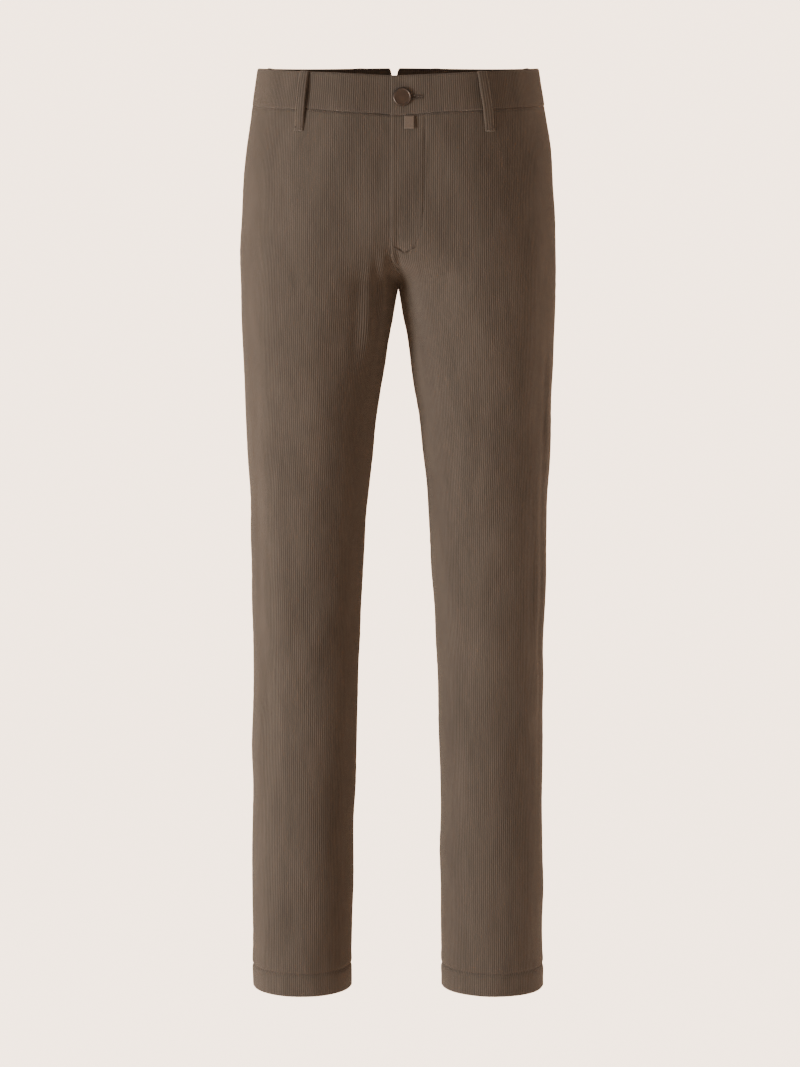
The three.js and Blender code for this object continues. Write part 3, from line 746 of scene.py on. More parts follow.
@dataclass
class Threads:
    """Sewing threads, each a short spindle lying on the cloth, joined in one mesh.

    The spindle's rows are shares of its length, shares of its radius and lifts off the cloth in radii.
    """

    SPINDLE = ((0.0, 0.25, -0.6), (0.14, 0.85, 0.2), (0.5, 1.0, 0.6), (0.86, 0.85, 0.2), (1.0, 0.25, -0.6))
    BAR_THICK = 1.15
    BAR_LEAN = 0.16

    name: str
    radius: float = 0.24
    sides: int = 6
    points: list[np.ndarray] = field(default_factory=list)
    faces: list[list[int]] = field(default_factory=list)

    def stitch(self, start: np.ndarray, end: np.ndarray, out: np.ndarray, thick: float = 1.0) -> None:
        """Adds one stitch between two points of the cloth.

        Args:
            start: Where the thread comes out.
            end: Where it goes in.
            out: The cloth's outward direction there.
            thick: How thick the thread is, as a share of the usual.
        """
        along = (end - start) / np.linalg.norm(end - start)
        across = np.cross(along, out)
        across /= np.linalg.norm(across)
        first = len(self.points) * self.sides
        angles = 2 * math.pi * np.arange(self.sides) / self.sides
        radius = self.radius * thick
        for share, size, lift in self.SPINDLE:
            middle = start + (end - start) * share + out * lift * radius
            ring = [middle + radius * size * (math.cos(a) * across + math.sin(a) * out) for a in angles]
            self.points.append(np.array(ring))
        for ring in range(len(self.SPINDLE) - 1):
            base = first + ring * self.sides
            for i in range(self.sides):
                j = (i + 1) % self.sides
                self.faces.append([base + i, base + j, base + self.sides + j, base + self.sides + i])
        last = first + (len(self.SPINDLE) - 1) * self.sides
        self.faces.append([first + i for i in reversed(range(self.sides))])
        self.faces.append([last + i for i in range(self.sides)])

    def run(self, path: np.ndarray, outs: np.ndarray, length: float = 2.5, gap: float = 0.8) -> None:
        """Adds a line of running stitches.

        Args:
            path: Points along the line.
            outs: The cloth's outward direction at each point.
            length: Length of a stitch.
            gap: Cloth between two stitches.
        """
        along = np.concatenate([[0.0], np.cumsum(np.linalg.norm(np.diff(path, axis=0), axis=1))])
        place = 0.0
        while place + length < along[-1]:
            ends = [[np.interp(at, along, path[:, k]) for k in range(3)] for at in (place, place + length)]
            out = np.array([np.interp(place + length / 2, along, outs[:, k]) for k in range(3)])
            self.stitch(np.array(ends[0]), np.array(ends[1]), out / np.linalg.norm(out))
            place += length + gap

    def bar(self, start: np.ndarray, end: np.ndarray, out: np.ndarray, width: float, strands: int) -> None:
        """Adds a bar tack: close strands across a line.

        Args:
            start: One end of the bar.
            end: The other end.
            out: The cloth's outward direction.
            width: Length of each strand.
            strands: How many strands lie side by side.
        """
        along = (end - start) / np.linalg.norm(end - start)
        across = np.cross(along, out)
        across /= np.linalg.norm(across)
        for i in range(strands):
            middle = start + (end - start) * (i + 0.5) / strands
            half = across * width / 2 + along * self.BAR_LEAN * (-1) ** i
            self.stitch(middle - half, middle + half, out, self.BAR_THICK)

    def build(self, material: bpy.types.Material) -> bpy.types.Object:
        """Makes the joined object.

        Args:
            material: The thread's finish.

        Returns:
            The object.
        """
        mesh = bpy.data.meshes.new(self.name)
        points = np.concatenate(self.points) * MM
        mesh.from_pydata(points.tolist(), [], self.faces)
        mesh.polygons.foreach_set("use_smooth", [True] * len(self.faces))
        mesh.materials.append(material)
        mesh.update()
        piece = bpy.data.objects.new(self.name, mesh)
        bpy.context.scene.collection.objects.link(piece)
        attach(piece, BODY)
        LOG.info("%s: %d stitches", self.name, len(self.points) // len(self.SPINDLE))
        return piece


class Wiring:
    """Adds shader nodes to one tree and joins them."""

    def __init__(self, tree: bpy.types.NodeTree) -> None:
        """Keeps the tree."""
        self.tree = tree

    def add(self, kind: str, **values: object) -> bpy.types.Node:
        """Adds a node.

        Args:
            kind: The node's type.
            **values: Settings in lower case, and input values with a capital and _ for a space.

        Returns:
            The node.
        """
        node = self.tree.nodes.new(kind)
        for name, value in values.items():
            if name[0].isupper():
                node.inputs[name.replace("_", " ")].default_value = value
            else:
                setattr(node, name, value)
        return node

    def join(self, source: bpy.types.NodeSocket, target: bpy.types.NodeSocket) -> None:
        """Joins an output to an input."""
        self.tree.links.new(source, target)

    def math(self, operation: str, a: object, b: object) -> bpy.types.NodeSocket:
        """Adds a sum or product.

        Args:
            operation: What is done with the two.
            a: A socket or a number.
            b: A socket or a number.

        Returns:
            The result's socket.
        """
        node = self.add("ShaderNodeMath", operation=operation)
        for socket, value in zip(node.inputs, (a, b)):
            if isinstance(value, bpy.types.NodeSocket):
                self.join(value, socket)
            else:
                socket.default_value = value
        return node.outputs[0]

    def swing(self, value: bpy.types.NodeSocket, amount: object) -> bpy.types.NodeSocket:
        """Adds a value's distance from its middle, times an amount."""
        return self.math("MULTIPLY", self.math("SUBTRACT", value, 0.5), amount)

    def tinted(self, colour: bpy.types.NodeSocket, level: bpy.types.NodeSocket) -> bpy.types.NodeSocket:
        """Adds a colour made lighter or darker.

        Args:
            colour: The colour.
            level: How light it becomes, with 1 for no change.

        Returns:
            The new colour.
        """
        node = self.add("ShaderNodeVectorMath", operation="SCALE")
        self.join(colour, node.inputs[0])
        self.join(level, node.inputs["Scale"])
        return node.outputs[0]

    def noise(
        self, place: bpy.types.NodeSocket, scale: tuple[float, float, float], detail: float, roughness: float
    ) -> bpy.types.NodeSocket:
        """Adds noise that is drawn out along an axis.

        Args:
            place: Where on the object it is read.
            scale: How many patches lie in a metre along each axis.
            detail: How many finer layers it has.
            roughness: How strong those layers are.

        Returns:
            The noise's value.
        """
        stretched = self.add("ShaderNodeMapping", Scale=scale)
        self.join(place, stretched.inputs["Vector"])
        texture = self.add("ShaderNodeTexNoise", Scale=1.0, Detail=detail, Roughness=roughness)
        self.join(stretched.outputs["Vector"], texture.inputs["Vector"])
        return texture.outputs[0]


def shader_group(name: str, inputs: dict[str, object], outputs: dict[str, str]) -> tuple:
    """Starts a shader node group with named sockets.

    Args:
        name: The group's name.
        inputs: Default values by input name: a number, or four for a colour.
        outputs: Kinds by output name.

    Returns:
        The group's tree, its wiring, its input node and its output node.
    """
    tree = bpy.data.node_groups.new(name, "ShaderNodeTree")
    for label, value in inputs.items():
        kind = "NodeSocketColor" if isinstance(value, tuple) else "NodeSocketFloat"
        tree.interface.new_socket(label, in_out="INPUT", socket_type=kind).default_value = value
    for label, kind in outputs.items():
        tree.interface.new_socket(label, in_out="OUTPUT", socket_type=kind)
    wiring = Wiring(tree)
    return tree, wiring, wiring.add("NodeGroupInput"), wiring.add("NodeGroupOutput")


def pile_group() -> bpy.types.NodeTree:
    """Makes a soft pile's colour and height: faded patches, streaks along the ribs, single fibres, and
    painted shade that darkens the grooves between the ribs.

    Returns:
        The node group.
    """
    inputs = {
        "Colour": (0.115, 0.084, 0.061, 1.0),
        "Ridge": 1.0,
        # Strength of the painted shade in the grooves between the ribs
        "Groove": 0.4,
        "Fading": 0.12,
        "Streaks": 0.1,
        "Tufts": 0.5,
    }
    outputs = {"Colour": "NodeSocketColor", "Height": "NodeSocketFloat", "Roughness": "NodeSocketFloat"}
    tree, wiring, entry, leave = shader_group("pile", inputs, outputs)
    place = wiring.add("ShaderNodeTexCoord").outputs["Object"]
    patches = wiring.noise(place, (36.0, 36.0, 9.0), 4.0, 0.55)
    streaks = wiring.noise(place, (520.0, 520.0, 26.0), 3.0, 0.6)
    tufts = wiring.noise(place, (2600.0, 2600.0, 1500.0), 2.0, 0.65)
    level = wiring.math("ADD", wiring.swing(patches, entry.outputs["Fading"]), 1.0)
    for value, amount in ((streaks, "Streaks"), (tufts, "Tufts")):
        level = wiring.math("ADD", level, wiring.swing(value, entry.outputs[amount]))
    # Painted shade: the colour is darkened where Ridge is low, in the grooves between the ribs and at the
    # cut edges
    valley = wiring.math("SUBTRACT", 1.0, entry.outputs["Ridge"])
    groove = wiring.math("MULTIPLY", valley, entry.outputs["Groove"])
    level = wiring.math("SUBTRACT", level, groove)
    wiring.join(wiring.tinted(entry.outputs["Colour"], level), leave.inputs["Colour"])
    wiring.join(tufts, leave.inputs["Height"])
    rough = wiring.math("ADD", wiring.math("MULTIPLY", tufts, 0.12), 0.82)
    wiring.join(rough, leave.inputs["Roughness"])
    return tree


def weave_group() -> bpy.types.NodeTree:
    """Makes the colour and height of a close diagonal weave.

    Returns:
        The node group.
    """
    inputs = {"Colour": (0.1, 0.07, 0.05, 1.0), "Lines": 1400.0, "Depth": 0.3}
    outputs = {"Colour": "NodeSocketColor", "Height": "NodeSocketFloat"}
    tree, wiring, entry, leave = shader_group("weave", inputs, outputs)
    place = wiring.add("ShaderNodeTexCoord").outputs["Object"]
    lines = wiring.add(
        "ShaderNodeTexWave", bands_direction="DIAGONAL", Distortion=1.2, Detail=2.0, Detail_Scale=2.0
    )
    wiring.join(place, lines.inputs["Vector"])
    wiring.join(entry.outputs["Lines"], lines.inputs["Scale"])
    patches = wiring.add("ShaderNodeTexNoise", Scale=26.0, Detail=4.0)
    wiring.join(place, patches.inputs["Vector"])
    level = wiring.math("ADD", wiring.swing(lines.outputs[1], entry.outputs["Depth"]), 0.85)
    level = wiring.math("ADD", level, wiring.math("MULTIPLY", patches.outputs[0], 0.3))
    wiring.join(wiring.tinted(entry.outputs["Colour"], level), leave.inputs["Colour"])
    wiring.join(lines.outputs[1], leave.inputs["Height"])
    return tree


def start_material(name: str) -> tuple[bpy.types.Material, Wiring, bpy.types.Node]:
    """Makes an empty material.

    Args:
        name: The material's name.

    Returns:
        The material, its wiring and its main shader.
    """
    material = bpy.data.materials.new(name)
    material.use_nodes = True
    wiring = Wiring(material.node_tree)
    return material, wiring, material.node_tree.nodes["Principled BSDF"]


def add_group(wiring: Wiring, tree: bpy.types.NodeTree, **values: object) -> bpy.types.Node:
    """Places a node group in a material with its own values.

    Args:
        wiring: The material's wiring.
        tree: The group.
        **values: The group's input values by name.

    Returns:
        The group's node.
    """
    node = wiring.add("ShaderNodeGroup", node_tree=tree)
    for name, value in values.items():
        node.inputs[name].default_value = value
    return node


def add_bump(wiring: Wiring, height: bpy.types.NodeSocket, shader: bpy.types.Node, depth: float) -> None:
    """Feeds a height through a bump node to a shader's normal.

    Args:
        wiring: The material's wiring.
        height: The height.
        shader: The shader.
        depth: How deep the relief is, in metres.
    """
    bump = wiring.add("ShaderNodeBump", Strength=1.0, Distance=depth)
    wiring.join(height, bump.inputs["Height"])
    wiring.join(bump.outputs["Normal"], shader.inputs["Normal"])


@dataclass(frozen=True)
class Corduroy:
    """Ribbed cotton pile, with painted shade in the grooves between the ribs."""

    name: str
    colour: tuple[float, float, float]
    # How strongly painted shade darkens the grooves between the ribs
    groove: float = 0.5
    fading: float = 0.5
    streaks: float = 0.4
    tufts: float = 0.5
    fibre_depth: float = 0.00016
    sheen: float = 0.6
    sheen_roughness: float = 0.42

    def build(self, pile: bpy.types.NodeTree) -> bpy.types.Material:
        """Makes the material.

        Args:
            pile: The shared pile group.

        Returns:
            The material.
        """
        material, wiring, shader = start_material(self.name)
        # Each point's place on its rib steers the painted shade in the grooves
        ridge = wiring.add("ShaderNodeAttribute", attribute_name="ridge")
        values = {"Groove": self.groove, "Fading": self.fading, "Streaks": self.streaks, "Tufts": self.tufts}
        group = add_group(wiring, pile, Colour=(*self.colour, 1.0), **values)
        wiring.join(ridge.outputs["Fac"], group.inputs["Ridge"])
        wiring.join(group.outputs["Colour"], shader.inputs["Base Color"])
        wiring.join(group.outputs["Roughness"], shader.inputs["Roughness"])
        add_bump(wiring, group.outputs["Height"], shader, self.fibre_depth)
        shader.inputs["Specular IOR Level"].default_value = 0.15
        shader.inputs["Sheen Weight"].default_value = self.sheen
        shader.inputs["Sheen Roughness"].default_value = self.sheen_roughness
        shader.inputs["Sheen Tint"].default_value = (0.86, 0.72, 0.6, 1.0)
        return material


@dataclass(frozen=True)
class Woven:
    """Flat woven cotton, for pocketing, tapes, threads and the cloth's wrong side."""

    name: str
    colour: tuple[float, float, float]
    lines: float = 1400.0
    depth: float = 0.3
    relief: float = 0.00012
    roughness: float = 0.88

    def build(self, weave: bpy.types.NodeTree) -> bpy.types.Material:
        """Makes the material.

        Args:
            weave: The shared weave group.

        Returns:
            The material.
        """
        material, wiring, shader = start_material(self.name)
        group = add_group(wiring, weave, Colour=(*self.colour, 1.0), Lines=self.lines, Depth=self.depth)
        wiring.join(group.outputs["Colour"], shader.inputs["Base Color"])
        add_bump(wiring, group.outputs["Height"], shader, self.relief)
        shader.inputs["Roughness"].default_value = self.roughness
        shader.inputs["Specular IOR Level"].default_value = 0.2
        shader.inputs["Sheen Weight"].default_value = 0.2
        return material


@dataclass(frozen=True)
class DarkMetal:
    """Burnished dark bronze with finer wear."""

    name: str
    colour: tuple[float, float, float]
    worn: tuple[float, float, float]
    roughness: float = 0.34

    def build(self) -> bpy.types.Material:
        """Makes the material.

        Returns:
            The material.
        """
        material, wiring, shader = start_material(self.name)
        place = wiring.add("ShaderNodeTexCoord").outputs["Object"]
        marks = wiring.add("ShaderNodeTexNoise", Scale=900.0, Detail=5.0, Roughness=0.6)
        wiring.join(place, marks.inputs["Vector"])
        patches = wiring.add("ShaderNodeTexNoise", Scale=160.0, Detail=3.0)
        wiring.join(place, patches.inputs["Vector"])
        blend = wiring.add("ShaderNodeMix", data_type="RGBA")
        blend.inputs["A"].default_value = (*self.colour, 1.0)
        blend.inputs["B"].default_value = (*self.worn, 1.0)
        wiring.join(wiring.math("MULTIPLY", patches.outputs[0], marks.outputs[0]), blend.inputs["Factor"])
        wiring.join(blend.outputs["Result"], shader.inputs["Base Color"])
        rough = wiring.math("ADD", wiring.math("MULTIPLY", marks.outputs[0], 0.2), self.roughness - 0.1)
        wiring.join(rough, shader.inputs["Roughness"])
        add_bump(wiring, marks.outputs[0], shader, 0.00003)
        shader.inputs["Metallic"].default_value = 0.9
        return material


@dataclass
class Finishes:
    """Every material of the garment."""

    cloth: bpy.types.Material
    cloth_back: bpy.types.Material
    pocketing: bpy.types.Material
    zip_tape: bpy.types.Material
    thread: bpy.types.Material
    binding: bpy.types.Material
    bronze: bpy.types.Material

    @classmethod
    def build(cls) -> Finishes:
        """Makes the shared node groups and the materials that use them.

        Returns:
            The finishes.
        """
        pile = pile_group()
        weave = weave_group()
        return cls(
            cloth=Corduroy("corduroy", (0.0955, 0.0805, 0.0655)).build(pile),
            cloth_back=Woven("corduroy_back", (0.075, 0.059, 0.046), lines=1100.0).build(weave),
            pocketing=Woven("pocketing", (0.08, 0.063, 0.049)).build(weave),
            zip_tape=Woven("zip_tape", (0.07, 0.052, 0.04), lines=1900.0).build(weave),
            # Painted shade: the thread is darker than the cloth, standing in for the shade of the troughs
            # its stitches lie in
            thread=Woven("sewing_thread", (0.07, 0.055, 0.042), lines=2600.0, relief=0.00005).build(weave),
            binding=Woven("twill_binding", (0.15, 0.122, 0.097), lines=1500.0, depth=0.2).build(weave),
            bronze=DarkMetal("burnished_bronze", (0.07, 0.057, 0.048), (0.15, 0.125, 0.105), 0.42).build(),
        )


@dataclass
class Panel:
    """A front or back panel, from the waist seam to the turned-up hem."""

    side: Side
    face: Face
    row_step: float = 8.0
    fold_step: float = 4.5
    yoke_rows: int = 11
    edge_margin: float = 0.15
    visible_gap: float = 0.05
    roll_depth: float = 0.6
    roll_width: float = 1.3
    allowance_height: float = 0.3
    allowance_width: float = 10.0
    pucker_height: float = 0.22
    pucker_length: float = 17.0
    hem_trough: float = 0.5
    hem_trough_width: float = 1.4
    mouth_inset: float = 7.0
    mouth_trough: float = 0.35
    mouth_trough_width: float = 0.9
    fly_allowance: float = 5.0
    fly_trough: float = 0.9
    fly_trough_width: float = 1.1
    fly_pucker: float = 0.5
    fly_pucker_reach: float = 3.6
    fly_pucker_length: float = 6.3

    @property
    def name(self) -> str:
        """The node that this panel stands for."""
        return f"{self.face.label}_{self.side.label}"

    def inner_over(self, z: np.ndarray) -> np.ndarray:
        """How far past the centre plane the inner edge lies.

        Args:
            z: Heights.

        Returns:
            The distances, negative where the edge stops short of the plane.
        """
        gap = self.visible_gap / 2
        if self.face is Face.BACK:
            seat = SEAT_OVERLAP * smooth(CROTCH_Z, CROTCH_Z + 4, z)
            return self.side.value * BACK_SEAM_LEAN * smooth(CROTCH_Z + 10, YOKE_Z, z) - gap + seat
        lap = FLY_LAP * smooth(CROTCH_Z + 2, FLY_END_Z, z)
        if self.side is Side.LEFT:
            return lap - gap
        return -lap - gap + (UNDERLAP + FLY_LAP) * smooth(FLY_END_Z, FLY_END_Z + FLY_FADE, z)

    def side_edge(self, z: np.ndarray) -> np.ndarray:
        """Distance of the side edge from the side seam, with the pocket mouth on a front.

        Args:
            z: Heights.

        Returns:
            The distances.
        """
        gap = self.visible_gap / 2
        if self.face is Face.BACK:
            return gap * np.ones_like(z)
        top = smooth(MOUTH_TOP_Z, MOUTH_TOP_Z - 12, z)
        return gap + MOUTH_GAP * top * smooth(MOUTH_END_Z, MOUTH_END_Z + 20, z)

    def levels(self) -> list[tuple[str, float]]:
        """Lists the rows from the waist seam down.

        Returns:
            Shares of the way up from the yoke level to the waist seam, then heights, each with its kind.
        """
        shares = [("share", share) for share in (1 - (np.arange(self.yoke_rows) / self.yoke_rows) ** 1.15)]
        near = 0.35 * np.arange(7)[::-1] ** 2
        stretches = [
            np.arange(YOKE_Z, CROTCH_Z + 14, -6.2),
            CROTCH_Z + near,
            CROTCH_Z - near[::-1][1:5],
        ]
        z = CROTCH_Z - 9.0
        while z > -976:
            stretches.append(np.array([z]))
            z -= self.fold_step if self.folded(z) else self.row_step
        hem = [-978, -983, -987, -990, -992, -993.2, -994, -994.8, -996, -998, -1002, -1006, -1010]
        stretches.append(np.array(hem + [-1014, -1016.8, -1018.6, -1019.5, HEM_Z], float))
        return shares + [("z", float(z)) for z in np.concatenate(stretches)]

    def folded(self, z: float) -> bool:
        """Whether the height lies among a back panel's cross folds."""
        return self.face is Face.BACK and (z > -340 or -640 < z < -490)

    def fly_stitch_line(self) -> np.ndarray:
        """The line of the curved fly stitching.

        Returns:
            Distances from the centre plane and heights, from the waist down.
        """
        return np.array([
            (28.4, -36), (28.4, -60), (28.1, -95), (27.6, -122), (26.9, -138), (25.4, -152),
            (22.9, -163), (19.0, -172.5), (14.0, -180), (8.4, -185.2), (2.4, -188.6), (-3.0, -190.4),
        ], float)

    def stitch_trough(self, from_centre: np.ndarray, z: np.ndarray) -> np.ndarray:
        """Relief of the left front along the fly stitching: drawn in, with short puckers outside it.

        Args:
            from_centre: Distances from the centre plane.
            z: Heights.

        Returns:
            How far the cloth stands out.
        """
        if self.face is Face.BACK or self.side is Side.RIGHT:
            return np.zeros_like(z)
        line = self.fly_stitch_line()
        nearest = np.full(z.shape, 1e6)
        for (x0, z0), (x1, z1) in zip(line[:-1], line[1:]):
            along = np.array([x1 - x0, z1 - z0])
            share = ((from_centre - x0) * along[0] + (z - z0) * along[1]) / (along @ along)
            share = np.clip(share, 0, 1)
            off = (from_centre - x0 - share * along[0]) ** 2 + (z - z0 - share * along[1]) ** 2
            nearest = np.minimum(nearest, off)
        waves = 0.5 + 0.5 * np.sin(2 * math.pi * (z + 0.4 * from_centre) / self.fly_pucker_length)
        outside = smooth(-2, 1, from_centre - np.interp(-z, -line[:, 1], line[:, 0]))
        puckers = self.fly_pucker * waves * outside * smooth(-200, -186, z)
        puckers *= np.exp(-nearest / self.fly_pucker_reach**2)
        return puckers - self.fly_trough * np.exp(-nearest / self.fly_trough_width**2)

    def seam_relief(self, edge: np.ndarray, z: np.ndarray, phase: float, allowance: float) -> np.ndarray:
        """Height of the cloth near a seam: rolled in at the edge, over its allowance, and puckered.

        Args:
            edge: Distances from the seam.
            z: Heights.
            phase: Where the puckers start.
            allowance: How wide the doubled cloth behind the seam is.

        Returns:
            How far the cloth stands out.
        """
        roll = -self.roll_depth * np.exp(-((edge / self.roll_width) ** 2))
        doubled = self.allowance_height * (1 - smooth(allowance - 2, allowance + 2, edge))
        waves = np.sin(2 * math.pi * z / self.pucker_length + phase)
        waves *= 0.6 + 0.4 * np.sin(2 * math.pi * z / 71 + 2 * phase)
        return roll + doubled + self.pucker_height * waves * np.exp(-edge / 8)

    def build(self, form: BodyForm, finishes: Finishes) -> bpy.types.Object:
        """Makes the panel's cloth wall.

        Args:
            form: The body surface.
            finishes: The garment's materials.

        Returns:
            The panel's object.
        """
        side, face = self.side, self.face
        levels = self.levels()
        grain = form.grain[side, face]
        middle = int(grain.max() / WALE_PITCH + 2) * SAMPLES
        widest = middle + int((form.lengths[side, face] - grain).max() / WALE_PITCH + 8) * SAMPLES
        columns = np.arange(widest + 1)
        offset = (columns - middle) * SAMPLE_STEP
        level_z = np.array([YOKE_Z if kind == "share" else value for kind, value in levels])[:, None]
        share = np.array([value if kind == "share" else 0.0 for kind, value in levels])[:, None]
        z = level_z + (BAND_SEAM.side - YOKE_Z) * share + np.zeros((1, len(columns)))
        for _ in range(3):
            low_edge, high_edge = self.side_edge(z), form.length(side, face, z) + self.inner_over(z)
            place = np.clip(form.grain_place(side, face, z) + offset, low_edge, high_edge)
            top = BAND_SEAM.at(form.waist_share(side, face.value * place)) - self.visible_gap * 2
            z = np.where(share > 0, YOKE_Z + (top - YOKE_Z) * share, level_z)
        low_edge, high_edge = self.side_edge(z), form.length(side, face, z) + self.inner_over(z)
        free = form.grain_place(side, face, z) + offset
        inside = (free > low_edge + self.edge_margin) & (free < high_edge - self.edge_margin)
        low = inside.argmax(axis=1) - 1
        high = len(columns) - inside[:, ::-1].argmax(axis=1)
        place = np.clip(free, low_edge, high_edge)
        held = np.clip(columns[None, :], low[:, None], high[:, None])
        place = np.where(held <= low[:, None], low_edge, np.where(held >= high[:, None], high_edge, place))
        length = form.length(side, face, z)
        from_centre = length - place
        s = face.value * place
        ends = [face.value * low_edge, face.value * high_edge]
        range_low, range_high = np.minimum(*ends), np.maximum(*ends)
        point = form.point(side, z, s)
        out = form.outward(side, z, s, range_low, range_high)
        relief = cloth_relief(face, point[..., 0], z)
        relief += self.seam_relief(place - low_edge, z, 0.4 + side.value, self.allowance_width)
        on_fly = face is Face.FRONT and side is Side.LEFT
        inner_allowance = self.fly_allowance if on_fly else self.allowance_width
        relief += self.seam_relief(high_edge - place, z, 2.0 - side.value, inner_allowance)
        relief += self.stitch_trough(from_centre, z)
        relief -= self.hem_trough * np.exp(-(((z - HEM_STITCH_Z) / self.hem_trough_width) ** 2))
        off_mouth = (place - low_edge - self.mouth_inset) / self.mouth_trough_width
        relief -= self.mouth_trough * np.exp(-(off_mouth**2)) * self.mouth_share(z)
        dip = np.zeros_like(z)
        if face is Face.FRONT and side is Side.RIGHT:
            deep = smooth(FLY_END_Z - DIP_FADE, FLY_END_Z, z)
            dip = -FLY_DIP * deep * (1 - smooth(DIP_END, DIP_START, from_centre))
        on_edge = (held <= low[:, None]) | (held >= high[:, None])
        wales = np.where(on_edge, -WALE_HEIGHT * WALE_SINK, ribbed(columns)[None, :])
        outside = HEM.at("outside", z) + dip + relief + wales
        inside_out = HEM.at("inside", z) + dip + relief
        outer = point + out * outside[..., None]
        coarse = np.clip(np.arange(0, widest + 1, SAMPLES)[None, :], low[:, None], high[:, None])
        rows = np.arange(len(levels))[:, None]
        inner = (point + out * inside_out[..., None])[rows, coarse]
        ridge = np.where(on_edge, EDGE_RIDGE, crown(columns)[None, :])
        wall = Wall(self.name + "_cloth", outer, inner, low, high, SAMPLES, ridge)
        flip = (side.value * face.value) < 0
        piece = wall.build([finishes.cloth, finishes.cloth_back], flip)
        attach(piece, BODY)
        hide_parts(self.name)
        self.declare()
        LOG.info("%s: %d faces", piece.name, len(piece.data.polygons))
        return piece

    def mouth_share(self, z: np.ndarray) -> np.ndarray:
        """Where the pocket mouth's stitching runs.

        Args:
            z: Heights.

        Returns:
            1 along the stitching and 0 elsewhere.
        """
        if self.face is Face.BACK:
            return np.zeros_like(z)
        return smooth(MOUTH_TOP_Z + 6, MOUTH_TOP_Z - 4, z) * smooth(MOUTH_END_Z - 4, MOUTH_END_Z + 6, z)

    def declare(self) -> None:
        """Works out the name of the waistband that holds the panel, and does nothing more with it.
        """
        held_by = f"waistband_{self.side.label}"


